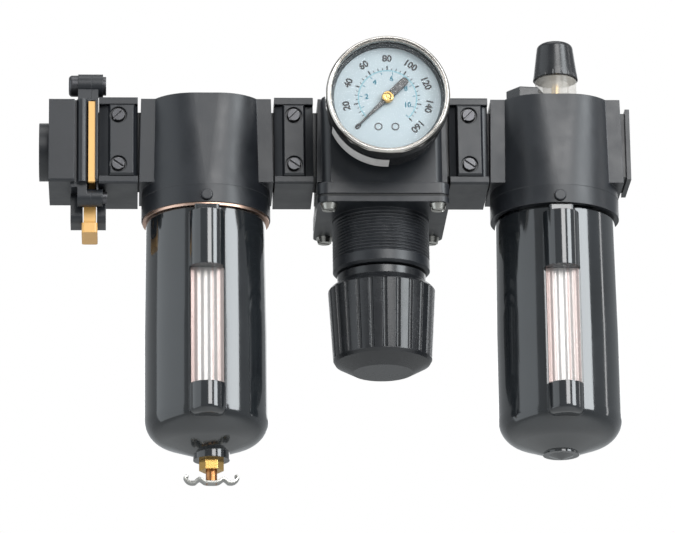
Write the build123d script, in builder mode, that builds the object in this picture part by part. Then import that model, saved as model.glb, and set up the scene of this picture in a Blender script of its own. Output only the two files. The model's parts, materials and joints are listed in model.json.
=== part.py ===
from build123d import *
import math
import os

# Filter, regulator and lubricator on one air line, with a shut-off slide valve at the inlet.
# Millimetres. The line runs along +X at Y = 0, Z = 0, +Y is the back and +Z is up. Every piece is
# drawn in the valve's own X and moved as it is written, so that the inlet face lands on X = 0.

# --- driving dimensions -------------------------------------------------------------------
VALVE_SPLIT_X = 20.5
INLET_FACE_X = -2.6
BLOCK_LEFT = 1.8
FILTER_X = 71.3
PITCH = 77.6
REGULATOR_X = FILTER_X + PITCH
LUBRICATOR_X = REGULATOR_X + PITCH
OUTLET_X = 260.0
CLAMP_X = (32.5, FILTER_X + PITCH / 2, REGULATOR_X + PITCH / 2)

PORT_R = 7.5
PORT_LENGTH = 12.0
FLOW_R = 6.0

FLANGE_HALF_WIDTH = 33.5
FLANGE_THICK = 2.0
FLANGE_HEIGHT = 33.0
FLANGE_DEPTH = 25.3
NECK_HEIGHT = 30.0
NECK_DEPTH = 22.0

CLAMP_HALF = 8.6
CLAMP_HEIGHT = 40.4
CLAMP_FRONT_Y = -17.4
CLAMP_BACK_Y = 20.0
SPACER_HALF = PITCH / 2 - FLANGE_HALF_WIDTH
SCREW_Z = 11.4
SCREW_R = 2.0
PLATE_SPANS = ((3.5, 6.6), (4.2, 4.2), (4.9, 5.3))

BODY_TOP = 19.4
BODY_BOTTOM = -19.5
BODY_HALF = 29.2
PLATE_FRONT = 17.0
SKIRT_R = 28.6
SKIRT_TOP = -24.0
SKIRT_BOTTOM = -32.3
BORE_R = 24.5
GROOVE_R = 26.1
GROOVE_TOP = -26.1
GROOVE_BOTTOM = -29.9
CHAMBER_TOP = -8.0
CHAMBER_BOTTOM = -15.5
CHAMBER_R = 22.0
POST_R = 9.0
LUG_ANGLES = [-113 + 90 * turn for turn in range(4)]
LUG_SPAN = 26.0
SLOT_SPAN = 29.0
TWIST = 45.0

BOWL_TOP = -33.9
BOWL_R = 26.6
BOWL_LOW_R = 27.2
BOWL_WALL = 2.4
SPIGOT_R = 24.2
SPIGOT_TOP = -16.0
CORNER_Z = -123.5
CORNER_R = 12.0
BOTTOM_SLOPE = 20.0
BOSS_BOTTOM = -142.0
COLUMN_R = 8.0
COLUMN_Y = -27.0
COLUMN_TOP = -37.2
COLUMN_BOTTOM = -129.0
WINDOW_TOP = -62.3
WINDOW_BOTTOM = -115.3
WINDOW_R = 7.1

GAUGE_X = REGULATOR_X + 1.0
GAUGE_Z = 8.0
GAUGE_R = 27.2
GAUGE_BACK_Y = -32.5
GAUGE_FRONT_Y = -57.0

BONNET_SCREW_AT = 24.0
BONNET_TOP = -28.4
BONNET_FLANGE_BOTTOM = -32.2
THREAD_BOTTOM = -52.1
BONNET_BOTTOM = -57.1
THREAD_R = 21.5
THREAD_PITCH = 1.5
KNOB_TOP = -58.1
KNOB_BOTTOM = -102.2
KNOB_TOP_R = 23.7
KNOB_BOTTOM_R = 21.8
KNOB_RIBS = 24

DOME_X = LUBRICATOR_X + 2.5
DOME_Y = 3.0
PLUG_X = LUBRICATOR_X - 12.5
PLUG_Y = -9.5

SLIDE_TRAVEL = 14.0


def level(x, z, y=0):
    return Plane(origin=(x, y, z))


def front(x, y, z):
    return Plane(origin=(x, y, z), x_dir=(1, 0, 0), z_dir=(0, -1, 0))


def along(x, y=0, z=0):
    return Plane(origin=(x, y, z), x_dir=(0, 1, 0), z_dir=(1, 0, 0))


def write(piece, name):
    placed = Pos(-INLET_FACE_X, 0, 0) * piece.part
    placed.label = name
    export_step(placed, f"parts/{name}.step")


def round_piece(name, x, profile, y=0.0):
    """A turned piece on a vertical axis: profile is a closed list of (radius, height)."""
    with BuildPart() as turned:
        with BuildSketch(front(x, y, 0)):
            with BuildLine():
                Polyline(*profile, close=True)
            make_face()
        revolve(axis=Axis((x, y, 0), (0, 0, 1)))
    write(turned, name)


def coil_spring(name, x, radius, wire_r, low, high, turns, y=0.0):
    """A helical spring, its ends left open."""
    with BuildPart() as spring:
        with BuildLine() as path:
            Helix((high - low) / turns, high - low, radius, center=(x, y, low))
        with BuildSketch(Plane(origin=path.line @ 0, z_dir=path.line % 0)):
            Circle(wire_r)
        sweep()
    write(spring, name)


os.makedirs("parts", exist_ok=True)

# --- shut-off slide valve -----------------------------------------------------------------
SLIDE_LEFT = 19.3
SLIDE_RIGHT = 22.3
POCKET_GAP = 0.1
VALVE_HALF_HEIGHT = 19.3
VALVE_HALF_DEPTH = 17.8
SLIDE_FRONT = -17.4
SLIDE_BACK = 12.0
SLIDE_CROWN = 22.5
SLIDE_CROWN_HALF = 8.2
TOP_BOSS_Z = 31.3
TOP_BOSS_R = 5.3
LOW_BOSS_Y = -11.0
LOW_BOSS_Z = -25.0
LOW_BOSS_R = 4.0
BOSS_LEFT = 14.5
BOSS_RIGHT = 25.6
EAR_HOLE_Z = -28.0
EAR_HOLE_Y = 2.0
EAR_HOLE_R = 3.3
EAR_BOTTOM = -34.5
EAR_TOP = -20.6


def valve_bosses(start, end):
    """The two bolt bosses of one valve half, between two places along the line."""
    with BuildSketch(along(start)) as profile:
        with BuildLine():
            Polyline(
                (-10, VALVE_HALF_HEIGHT - 1), (-10, 22), (-TOP_BOSS_R, 28), (TOP_BOSS_R, 28),
                (10, 22), (10, VALVE_HALF_HEIGHT - 1), close=True,
            )
        make_face()
        with Locations((0, TOP_BOSS_Z)):
            Circle(TOP_BOSS_R)
        with Locations((LOW_BOSS_Y, LOW_BOSS_Z)):
            Circle(LOW_BOSS_R)
    extrude(profile.sketch, amount=end - start)


def valve_ear(start, end):
    """One padlock ear below the block, with a rounded lower end."""
    with BuildSketch(along(start)) as profile:
        with Locations((1, (EAR_BOTTOM + EAR_TOP) / 2)):
            RectangleRounded(15, EAR_TOP - EAR_BOTTOM, 3)
    extrude(profile.sketch, amount=end - start)


def slide_pocket(start, end):
    """The pocket that the slide runs in, cut out of one valve half."""
    with BuildSketch(along(start)) as profile:
        with BuildLine():
            Polyline(
                (-20, -23.0), (-20, 18.3), (-8.5, 18.3), (-8.5, SLIDE_CROWN + 0.3),
                (8.5, SLIDE_CROWN + 0.3), (8.5, 18.3), (SLIDE_BACK + 0.3, 18.3),
                (SLIDE_BACK + 0.3, -23.0), close=True,
            )
        make_face()
        with Locations((LOW_BOSS_Y, LOW_BOSS_Z)):
            Circle(LOW_BOSS_R, mode=Mode.SUBTRACT)
    extrude(profile.sketch, amount=end - start, mode=Mode.SUBTRACT)


def seal_groove(x, amount):
    """A ring groove round the flow passage, in the face that the slide runs on."""
    with BuildSketch(along(x)) as profile:
        Circle(7.8)
        Circle(6.6, mode=Mode.SUBTRACT)
    extrude(profile.sketch, amount=amount, mode=Mode.SUBTRACT)


def valve_bolt_holes(start, end):
    with BuildSketch(along(start)) as profile:
        with Locations((0, TOP_BOSS_Z), (LOW_BOSS_Y, LOW_BOSS_Z)):
            Circle(SCREW_R)
    extrude(profile.sketch, amount=end - start, mode=Mode.SUBTRACT)


with BuildPart() as inlet_half:
    with BuildSketch(along(BLOCK_LEFT)):
        RectangleRounded(2 * VALVE_HALF_DEPTH, 2 * VALVE_HALF_HEIGHT, 1.2)
    extrude(amount=13.2 - BLOCK_LEFT)
    with BuildSketch(along(13.2)):
        Rectangle(2 * VALVE_HALF_DEPTH - 5, 2 * VALVE_HALF_HEIGHT)
    extrude(amount=VALVE_SPLIT_X - 13.2)
    with BuildSketch(level(0, -VALVE_HALF_HEIGHT)):
        with Locations((16.6, -VALVE_HALF_DEPTH + 2.4), (16.6, VALVE_HALF_DEPTH - 2.4)):
            Circle(2.4)
    extrude(amount=2 * VALVE_HALF_HEIGHT)
    with BuildSketch(along(INLET_FACE_X)):
        Circle(13)
    extrude(amount=BLOCK_LEFT - INLET_FACE_X)
    valve_bosses(BOSS_LEFT, VALVE_SPLIT_X)
    with BuildSketch(level(0, -VALVE_HALF_HEIGHT + 1)):
        with Locations((15.05, LOW_BOSS_Y + 10.5)):
            Rectangle(7.3, 29)
    extrude(amount=-2.9)
    with BuildSketch(along(BOSS_LEFT)):
        with Locations((LOW_BOSS_Y, -22)):
            Rectangle(2 * LOW_BOSS_R, 6)
    extrude(amount=18.7 - BOSS_LEFT)
    valve_ear(11.4, 16.7)
    slide_pocket(SLIDE_LEFT - POCKET_GAP, VALVE_SPLIT_X)
    seal_groove(SLIDE_LEFT - POCKET_GAP, -1.6)
    with BuildSketch(along(INLET_FACE_X)):
        Circle(PORT_R)
    extrude(amount=PORT_LENGTH, mode=Mode.SUBTRACT)
    with BuildSketch(along(INLET_FACE_X + PORT_LENGTH)):
        Circle(FLOW_R)
    extrude(amount=13, mode=Mode.SUBTRACT)
    valve_bolt_holes(0, 30)
    with BuildSketch(along(0)):
        with Locations((EAR_HOLE_Y, EAR_HOLE_Z)):
            Circle(EAR_HOLE_R)
    extrude(amount=20, mode=Mode.SUBTRACT)
write(inlet_half, "valve_inlet_half")

with BuildPart() as outlet_half:
    with BuildSketch(along(VALVE_SPLIT_X)):
        RectangleRounded(2 * VALVE_HALF_DEPTH, 2 * VALVE_HALF_HEIGHT, 1.2)
    extrude(amount=23.6 - VALVE_SPLIT_X)
    with BuildSketch(along(23.6)):
        Rectangle(NECK_DEPTH, NECK_HEIGHT)
    extrude(amount=CLAMP_X[0] - SPACER_HALF - FLANGE_THICK - 23.6)
    with BuildSketch(along(CLAMP_X[0] - SPACER_HALF - FLANGE_THICK)):
        Rectangle(FLANGE_DEPTH, FLANGE_HEIGHT)
    extrude(amount=FLANGE_THICK)
    valve_bosses(VALVE_SPLIT_X, 23.5)
    with BuildSketch(along(23.5)):
        with Locations((0, TOP_BOSS_Z)):
            Circle(TOP_BOSS_R)
        with Locations((LOW_BOSS_Y, LOW_BOSS_Z)):
            Circle(LOW_BOSS_R)
    extrude(amount=BOSS_RIGHT - 23.5)
    with BuildSketch(along(22.9)):
        with Locations((LOW_BOSS_Y + 10.5, -20.5)):
            Rectangle(29, 4)
    extrude(amount=0.7)
    valve_ear(23.1, 27.0)
    slide_pocket(VALVE_SPLIT_X, SLIDE_RIGHT + POCKET_GAP)
    seal_groove(SLIDE_RIGHT + POCKET_GAP, 0.9)
    with BuildSketch(along(VALVE_SPLIT_X)):
        Circle(FLOW_R)
    extrude(amount=10, mode=Mode.SUBTRACT)
    valve_bolt_holes(VALVE_SPLIT_X, 30)
    with BuildSketch(along(VALVE_SPLIT_X)):
        with Locations((EAR_HOLE_Y, EAR_HOLE_Z)):
            Circle(EAR_HOLE_R)
    extrude(amount=10, mode=Mode.SUBTRACT)
write(outlet_half, "valve_outlet_half")

with BuildPart() as slide:
    with BuildSketch(along(SLIDE_LEFT)):
        with BuildLine():
            Polyline(
                (SLIDE_FRONT, -19.5), (SLIDE_FRONT, 18.0), (-SLIDE_CROWN_HALF, 18.0),
                (-SLIDE_CROWN_HALF, SLIDE_CROWN), (SLIDE_CROWN_HALF, SLIDE_CROWN),
                (SLIDE_CROWN_HALF, 18.0), (SLIDE_BACK, 18.0), (SLIDE_BACK, -22.0),
                (8.0, -24.0), (-6.6, -24.0), (-6.6, -6.7), (-15.4, -6.7), (-15.4, -19.5), close=True,
            )
        make_face()
        Circle(FLOW_R, mode=Mode.SUBTRACT)
        with Locations((EAR_HOLE_Y, EAR_HOLE_Z + SLIDE_TRAVEL)):
            Circle(EAR_HOLE_R, mode=Mode.SUBTRACT)
    extrude(amount=SLIDE_RIGHT - SLIDE_LEFT)
    with BuildSketch(along(17.2)):
        with Locations((2.3, -28.55)):
            RectangleRounded(17.6, 13.7, 1.5)
    extrude(amount=5.4)
    with BuildSketch(level(19.85, -34.9)):
        with Locations((0, 2.3)):
            RectangleRounded(7.0, 17.8, 1.2)
    extrude(amount=-4.6)
write(slide, "shutoff_slide")

with BuildPart() as slide_seals:
    with BuildSketch(along(SLIDE_LEFT - POCKET_GAP - 1.5)):
        Circle(7.7)
        Circle(6.7, mode=Mode.SUBTRACT)
    extrude(amount=1.55)
    with BuildSketch(along(SLIDE_RIGHT + POCKET_GAP - 0.05)):
        Circle(7.7)
        Circle(6.7, mode=Mode.SUBTRACT)
    extrude(amount=0.9)
write(slide_seals, "slide_seals")

with BuildPart() as valve_bolts:
    with BuildSketch(along(BOSS_LEFT)):
        with Locations((0, TOP_BOSS_Z)):
            Circle(4.8)
    extrude(amount=-4.2)
    fillet(valve_bolts.edges().group_by(Axis.X)[0], 1.6)
    with BuildSketch(along(BOSS_LEFT - 4.2)):
        with Locations((0, TOP_BOSS_Z)):
            RegularPolygon(2.2, 6)
    extrude(amount=2, mode=Mode.SUBTRACT)
    with BuildSketch(along(BOSS_LEFT)):
        with Locations((0, TOP_BOSS_Z)):
            Circle(SCREW_R - 0.05)
    extrude(amount=BOSS_RIGHT - BOSS_LEFT)
    with BuildSketch(along(BOSS_RIGHT)):
        with Locations((0, TOP_BOSS_Z)):
            Circle(4.2)
    extrude(amount=1.4)
    with BuildSketch(along(BOSS_RIGHT)):
        with Locations((LOW_BOSS_Y, LOW_BOSS_Z)):
            Circle(2.8)
    extrude(amount=2.0)
    with BuildSketch(along(BOSS_LEFT + 0.5)):
        with Locations((LOW_BOSS_Y, LOW_BOSS_Z)):
            Circle(SCREW_R - 0.05)
    extrude(amount=BOSS_RIGHT - BOSS_LEFT)
write(valve_bolts, "valve_bolts")

# --- clamps between the modules ------------------------------------------------------------
JAW_BACK = -FLANGE_DEPTH / 2 - 0.25
JAW_FACE = -18.4
JAW_SIDE_FACE = -14.6
LIP_AT = SPACER_HALF + FLANGE_THICK + 0.1
ARM_INNER = FLANGE_HEIGHT / 2 + 0.3


def clamp_yoke(name, x):
    """The rear jaw: a back wall with a top and a bottom arm that reach to the front."""
    with BuildPart() as yoke:
        with BuildSketch(along(x - CLAMP_HALF)):
            with Locations(((CLAMP_FRONT_Y + CLAMP_BACK_Y) / 2, 0)):
                RectangleRounded(CLAMP_BACK_Y - CLAMP_FRONT_Y, CLAMP_HEIGHT, 1.0)
        extrude(amount=2 * CLAMP_HALF)
        with BuildSketch(along(x - LIP_AT)):
            with Locations((-JAW_BACK / 2 - 10, 0)):
                Rectangle(20 - JAW_BACK, 2 * ARM_INNER)
        extrude(amount=2 * LIP_AT, mode=Mode.SUBTRACT)
        with BuildSketch(along(x - CLAMP_HALF)):
            with Locations((-4.4, 0)):
                Rectangle(31.2, NECK_HEIGHT + 0.5)
            with Locations((CLAMP_FRONT_Y + 2, 0)):
                Rectangle(4, 2 * ARM_INNER)
        extrude(amount=2 * CLAMP_HALF, mode=Mode.SUBTRACT)
        with BuildSketch(front(x, 0, 0)):
            with Locations((0, SCREW_Z), (0, -SCREW_Z)):
                Circle(SCREW_R)
        extrude(amount=-CLAMP_BACK_Y + 1.5, mode=Mode.SUBTRACT)
    write(yoke, name)


def clamp_jaw(name, x, left, right):
    """The front jaw: a raised plate between two sloping sides, held by two sunk screws."""
    with BuildPart() as jaw:
        with BuildSketch(level(x, -ARM_INNER + 0.3)):
            with BuildLine():
                Polyline(
                    (-CLAMP_HALF, -13.6), (-CLAMP_HALF, JAW_SIDE_FACE), (-left - 1.0, JAW_SIDE_FACE - 1),
                    (-left, JAW_FACE), (right, JAW_FACE),
                    (min(right + 1.0, CLAMP_HALF - 0.4), JAW_SIDE_FACE - 1),
                    (CLAMP_HALF, JAW_SIDE_FACE), (CLAMP_HALF, -13.6),
                    (LIP_AT, -13.6), (LIP_AT, JAW_BACK), (-LIP_AT, JAW_BACK), (-LIP_AT, -13.6),
                    close=True,
                )
            make_face()
        extrude(amount=2 * ARM_INNER - 0.6)
        chamfer(jaw.faces().sort_by(Axis.Y)[0].edges().filter_by(Axis.X), 0.9)
        with BuildSketch(front(x, JAW_FACE, 0)):
            with Locations((0, SCREW_Z), (0, -SCREW_Z)):
                Circle(SCREW_R)
        extrude(amount=-10, mode=Mode.SUBTRACT)
        with BuildSketch(front(x, JAW_FACE, 0)):
            with Locations((0, SCREW_Z), (0, -SCREW_Z)):
                Circle(3.8)
        extrude(amount=-1.2, mode=Mode.SUBTRACT)
    write(jaw, name)


CLAMP_NAMES = ("inlet", "middle", "outlet")
for clamp_name, clamp_x, (plate_left, plate_right) in zip(CLAMP_NAMES, CLAMP_X, PLATE_SPANS):
    clamp_yoke(f"clamp_yoke_{clamp_name}", clamp_x)
    clamp_jaw(f"clamp_jaw_{clamp_name}", clamp_x, plate_left, plate_right)

O_RING_INNER = 7.4
O_RING_OUTER = 8.8

with BuildPart() as spacers:
    for clamp_x in CLAMP_X:
        with BuildSketch(along(clamp_x - SPACER_HALF)):
            Rectangle(FLANGE_DEPTH, FLANGE_HEIGHT)
            Circle(FLOW_R, mode=Mode.SUBTRACT)
        extrude(amount=2 * SPACER_HALF)
        for side in (-1, 1):
            with BuildSketch(along(clamp_x + side * SPACER_HALF)):
                Circle(O_RING_OUTER + 0.05)
                Circle(O_RING_INNER - 0.05, mode=Mode.SUBTRACT)
            extrude(amount=-side * 1.3, mode=Mode.SUBTRACT)
        with BuildSketch(front(clamp_x, -20, 0)):
            with Locations((0, SCREW_Z), (0, -SCREW_Z)):
                Circle(SCREW_R + 0.2)
        extrude(amount=-40, mode=Mode.SUBTRACT)
write(spacers, "clamp_spacers")

with BuildPart() as port_rings:
    for clamp_x in CLAMP_X:
        for side in (-1, 1):
            with BuildSketch(along(clamp_x + side * (SPACER_HALF - 1.28))):
                Circle(O_RING_OUTER)
                Circle(O_RING_INNER, mode=Mode.SUBTRACT)
            extrude(amount=side * 1.26)
write(port_rings, "port_o_rings")

SCREW_HEAD_R = 3.1
with BuildPart() as clamp_screws:
    for clamp_x in CLAMP_X:
        for z in (-SCREW_Z, SCREW_Z):
            with BuildSketch(front(clamp_x, JAW_FACE + 1.2, z)):
                Circle(SCREW_HEAD_R)
            extrude(amount=1.9, taper=14)
            with BuildSketch(front(clamp_x, JAW_FACE - 0.7, z)):
                Rectangle(8, 0.9, rotation=45 if z > 0 else -35)
            extrude(amount=-0.9, mode=Mode.SUBTRACT)
            with BuildSketch(front(clamp_x, JAW_FACE + 1.2, z)):
                Circle(SCREW_R - 0.05)
            extrude(amount=-(CLAMP_BACK_Y - JAW_FACE - 1.2 - 3.0))
write(clamp_screws, "clamp_screws")


# --- filter and lubricator housings ----------------------------------------------------------
def end_flange(x, side):
    """The neck and the clamp flange on one end of a module."""
    start = x + side * (BODY_HALF - 1)
    with BuildSketch(along(start)) as profile:
        Rectangle(NECK_DEPTH, NECK_HEIGHT)
    extrude(profile.sketch, amount=side * (FLANGE_HALF_WIDTH - BODY_HALF + 1))
    with BuildSketch(along(x + side * (FLANGE_HALF_WIDTH - FLANGE_THICK))) as profile:
        Rectangle(FLANGE_DEPTH, FLANGE_HEIGHT)
    extrude(profile.sketch, amount=side * FLANGE_THICK)


def housing_shell(x):
    """The head of a filter or lubricator: side plates, a rounded barrel and a round skirt."""
    with BuildSketch(front(x, PLATE_FRONT, 0)) as profile:
        with BuildLine():
            Polyline(
                (-BODY_HALF + 0.4, BODY_TOP), (BODY_HALF - 0.4, BODY_TOP),
                (BODY_HALF + 0.4, BODY_BOTTOM), (-BODY_HALF - 0.4, BODY_BOTTOM), close=True,
            )
        make_face()
    extrude(profile.sketch, amount=2 * PLATE_FRONT)
    with BuildSketch(level(x, BODY_TOP)) as crown:
        RectangleRounded(53, 51, 21)
    with BuildSketch(level(x, SKIRT_TOP)) as waist:
        RectangleRounded(2 * SKIRT_R, 2 * SKIRT_R, SKIRT_R - 0.3)
    loft([crown.sketch, waist.sketch])
    with BuildSketch(level(x, SKIRT_TOP)) as profile:
        Circle(SKIRT_R)
    extrude(profile.sketch, amount=SKIRT_BOTTOM - SKIRT_TOP)


def housing_cavity(x):
    """The bowl's socket with its bayonet, and the flow chamber above it."""
    with BuildSketch(level(x, SKIRT_BOTTOM)) as profile:
        Circle(BORE_R)
    extrude(profile.sketch, amount=CHAMBER_BOTTOM - SKIRT_BOTTOM, mode=Mode.SUBTRACT)
    with BuildSketch(level(x, GROOVE_BOTTOM)) as profile:
        Circle(GROOVE_R)
    extrude(profile.sketch, amount=GROOVE_TOP - GROOVE_BOTTOM, mode=Mode.SUBTRACT)
    for lug_angle in LUG_ANGLES:
        with BuildSketch(level(x, SKIRT_BOTTOM)) as profile:
            ring_sector(GROOVE_R, 23.0, lug_angle - TWIST, SLOT_SPAN)
        extrude(profile.sketch, amount=GROOVE_BOTTOM - SKIRT_BOTTOM, mode=Mode.SUBTRACT)
    with BuildSketch(level(x, CHAMBER_BOTTOM)) as profile:
        Circle(CHAMBER_R)
        Circle(POST_R, mode=Mode.SUBTRACT)
    extrude(profile.sketch, amount=CHAMBER_TOP - CHAMBER_BOTTOM, mode=Mode.SUBTRACT)
    with BuildSketch(level(x, -20.6)) as profile:
        Circle(BORE_R + 1.35)
        Circle(BORE_R - 0.5, mode=Mode.SUBTRACT)
    extrude(profile.sketch, amount=2.4, mode=Mode.SUBTRACT)
    with BuildSketch(front(x, 0, -29.1)) as profile:
        Circle(2.55)
    extrude(profile.sketch, amount=40, mode=Mode.SUBTRACT)


def ring_sector(outer, inner, angle, span):
    """A piece of a flat ring, centred on an angle, in the open sketch."""
    half = math.radians(span / 2)
    middle = math.radians(angle)

    def at(radius, turn):
        return (radius * math.cos(middle + turn), radius * math.sin(middle + turn))

    with BuildLine() as outline:
        outside = ThreePointArc(at(outer, -half), at(outer, 0), at(outer, half))
        inside = ThreePointArc(at(inner, -half), at(inner, 0), at(inner, half))
        Line(outside @ 0, inside @ 0)
        Line(outside @ 1, inside @ 1)
    make_face(outline.edges())


with BuildPart() as filter_body:
    housing_shell(FILTER_X)
    end_flange(FILTER_X, -1)
    end_flange(FILTER_X, 1)
    housing_cavity(FILTER_X)
    with BuildSketch(level(FILTER_X, CHAMBER_BOTTOM)):
        Circle(POST_R)
        Circle(5, mode=Mode.SUBTRACT)
    extrude(amount=-4)
    with BuildSketch(along(FILTER_X - FLANGE_HALF_WIDTH)):
        Circle(FLOW_R)
    extrude(amount=FLANGE_HALF_WIDTH - 11, mode=Mode.SUBTRACT)
    with BuildSketch(level(FILTER_X - 15.5, CHAMBER_TOP - 1)):
        Circle(4.5)
    extrude(amount=6, mode=Mode.SUBTRACT)
    with BuildSketch(along(FILTER_X)):
        Circle(FLOW_R)
    extrude(amount=FLANGE_HALF_WIDTH, mode=Mode.SUBTRACT)
    with BuildSketch(level(FILTER_X, CHAMBER_BOTTOM - 4)):
        Circle(5)
    extrude(amount=4 - CHAMBER_BOTTOM, mode=Mode.SUBTRACT)
    with BuildSketch(level(FILTER_X, 0)):
        Circle(3.05)
    extrude(amount=10, mode=Mode.SUBTRACT)
write(filter_body, "filter_body")

with BuildPart() as lubricator_body:
    housing_shell(LUBRICATOR_X)
    end_flange(LUBRICATOR_X, -1)
    end_flange(LUBRICATOR_X, 1)
    housing_cavity(LUBRICATOR_X)
    with BuildSketch(level(DOME_X, BODY_TOP, DOME_Y)):
        Circle(10.6)
    extrude(amount=1.4)
    with BuildSketch(level(PLUG_X, BODY_TOP, PLUG_Y)):
        Circle(9.2)
    extrude(amount=0.8)
    with BuildSketch(along(LUBRICATOR_X - FLANGE_HALF_WIDTH)):
        Circle(FLOW_R)
    extrude(amount=2 * FLANGE_HALF_WIDTH - PORT_LENGTH, mode=Mode.SUBTRACT)
    with BuildSketch(along(OUTLET_X)):
        Circle(PORT_R)
    extrude(amount=-PORT_LENGTH, mode=Mode.SUBTRACT)
    with BuildSketch(level(DOME_X, BODY_TOP + 1.4, DOME_Y)):
        Circle(7.5)
    extrude(amount=-6, mode=Mode.SUBTRACT)
    with BuildSketch(level(DOME_X, BODY_TOP, DOME_Y)):
        Circle(1.2)
    extrude(amount=-15, mode=Mode.SUBTRACT)
    with BuildSketch(level(PLUG_X, BODY_TOP + 0.8, PLUG_Y)):
        Circle(5.2)
    extrude(amount=-30, mode=Mode.SUBTRACT)
    with BuildSketch(level(LUBRICATOR_X + 12, 0)):
        Circle(3.1)
    extrude(amount=-20, mode=Mode.SUBTRACT)
write(lubricator_body, "lubricator_body")


def bowl(name, x, boss_x, boss_bottom, drain):
    """A metal bowl with bayonet lugs, a front sight column and a drain or plain boss."""
    slope = math.radians(BOTTOM_SLOPE)
    corner_in = BOWL_LOW_R - CORNER_R
    cone_start = (
        corner_in + CORNER_R * math.sin(slope),
        CORNER_Z - CORNER_R * math.cos(slope),
    )
    tip = (0, cone_start[1] - cone_start[0] * math.tan(slope))
    inner_r = CORNER_R - BOWL_WALL
    inner_start = (corner_in + inner_r * math.sin(slope), CORNER_Z - inner_r * math.cos(slope))
    inner_tip = (0, inner_start[1] - inner_start[0] * math.tan(slope))
    middle = math.radians(-35)
    with BuildPart() as shell:
        with BuildSketch(front(x, 0, 0)):
            with BuildLine():
                Polyline(
                    (0, SPIGOT_TOP), (SPIGOT_R, SPIGOT_TOP), (SPIGOT_R, BOWL_TOP),
                    (BOWL_R, BOWL_TOP), (BOWL_LOW_R, -85), (BOWL_LOW_R, CORNER_Z),
                )
                ThreePointArc(
                    (BOWL_LOW_R, CORNER_Z),
                    (corner_in + CORNER_R * math.cos(middle), CORNER_Z + CORNER_R * math.sin(middle)),
                    cone_start,
                )
                Polyline(cone_start, tip, (0, SPIGOT_TOP))
            make_face()
        revolve(axis=Axis((x, 0, 0), (0, 0, 1)))
        with BuildSketch(level(x, COLUMN_BOTTOM)):
            with Locations((0, COLUMN_Y)):
                Circle(COLUMN_R)
        extrude(amount=COLUMN_TOP - COLUMN_BOTTOM)
        fillet(shell.edges().filter_by(GeomType.CIRCLE).group_by(Axis.Y)[0].group_by(Axis.Z)[0], 3.0)
        with BuildSketch(level(x, COLUMN_TOP)):
            with Locations((0, -29.6)):
                RectangleRounded(11, 6.2, 1.2)
        extrude(amount=2.6)
        with BuildSketch(level(boss_x, boss_bottom)):
            Circle(8)
        extrude(amount=8)
        with BuildSketch(front(x, 0, 0)):
            with BuildLine():
                Polyline(
                    (0, SPIGOT_TOP), (SPIGOT_R - BOWL_WALL, SPIGOT_TOP),
                    (BOWL_LOW_R - BOWL_WALL, BOWL_TOP - 8), (BOWL_LOW_R - BOWL_WALL, CORNER_Z),
                )
                ThreePointArc(
                    (BOWL_LOW_R - BOWL_WALL, CORNER_Z),
                    (corner_in + inner_r * math.cos(middle), CORNER_Z + inner_r * math.sin(middle)),
                    inner_start,
                )
                Polyline(inner_start, inner_tip, (0, SPIGOT_TOP))
            make_face()
        revolve(axis=Axis((x, 0, 0), (0, 0, 1)), mode=Mode.SUBTRACT)
        with BuildSketch(level(x, WINDOW_BOTTOM)):
            with Locations((0, COLUMN_Y)):
                Circle(COLUMN_R + 2)
                Rectangle(3 * COLUMN_R, 24 - COLUMN_Y - 2, align=(Align.CENTER, Align.MIN), mode=Mode.SUBTRACT)
        extrude(amount=WINDOW_TOP - WINDOW_BOTTOM, mode=Mode.SUBTRACT)
        for lug_angle in LUG_ANGLES:
            with BuildSketch(level(x, GROOVE_BOTTOM + 0.4)):
                ring_sector(25.8, 23.2, lug_angle, LUG_SPAN)
            extrude(amount=GROOVE_TOP - GROOVE_BOTTOM - 0.8)
        if drain:
            with BuildSketch(level(boss_x, boss_bottom)):
                Circle(3.6)
            extrude(amount=20, mode=Mode.SUBTRACT)
    write(shell, name)


def sight_window(module, x):
    """The clear half-round window of a bowl and the bright strip behind it."""
    length = WINDOW_TOP - WINDOW_BOTTOM - 0.2
    strip_back = COLUMN_Y
    with BuildPart() as strip:
        with BuildSketch(level(x, WINDOW_BOTTOM + 0.1)):
            with Locations((0, strip_back)):
                Rectangle(2 * WINDOW_R, 1.2, align=(Align.CENTER, Align.MAX))
        extrude(amount=length)
    write(strip, f"{module}_sight_reflector")
    with BuildPart() as window:
        with BuildSketch(level(x, WINDOW_BOTTOM + 0.1)):
            with Locations((0, strip_back - 1.2)):
                Circle(WINDOW_R)
                Rectangle(30, 15, align=(Align.CENTER, Align.MIN), mode=Mode.SUBTRACT)
        extrude(amount=length)
    write(window, f"{module}_sight_glass")


def lock_button(name, x):
    """The small round button in the skirt that frees the bowl's latch."""
    with BuildPart() as button:
        with BuildSketch(front(x, -SKIRT_R + 2.3, -29.1)):
            Circle(2.5)
        extrude(amount=3.4)
        fillet(button.edges().sort_by(Axis.Y)[0], 0.5)
    write(button, name)


FILTER_DRAIN_X = FILTER_X + 2.0
bowl("filter_bowl", FILTER_X, FILTER_DRAIN_X, BOSS_BOTTOM, True)
bowl("lubricator_bowl", LUBRICATOR_X, LUBRICATOR_X, BOSS_BOTTOM + 2.2, False)
sight_window("filter", FILTER_X)
sight_window("lubricator", LUBRICATOR_X)
lock_button("filter_lock_button", FILTER_X)
lock_button("lubricator_lock_button", LUBRICATOR_X)

with BuildPart() as trim_ring:
    with BuildSketch(level(FILTER_X, SKIRT_BOTTOM - 1.3)):
        Circle(SKIRT_R - 0.5)
        Circle(BORE_R + 1.7, mode=Mode.SUBTRACT)
    extrude(amount=1.3)
write(trim_ring, "filter_trim_ring")

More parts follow.
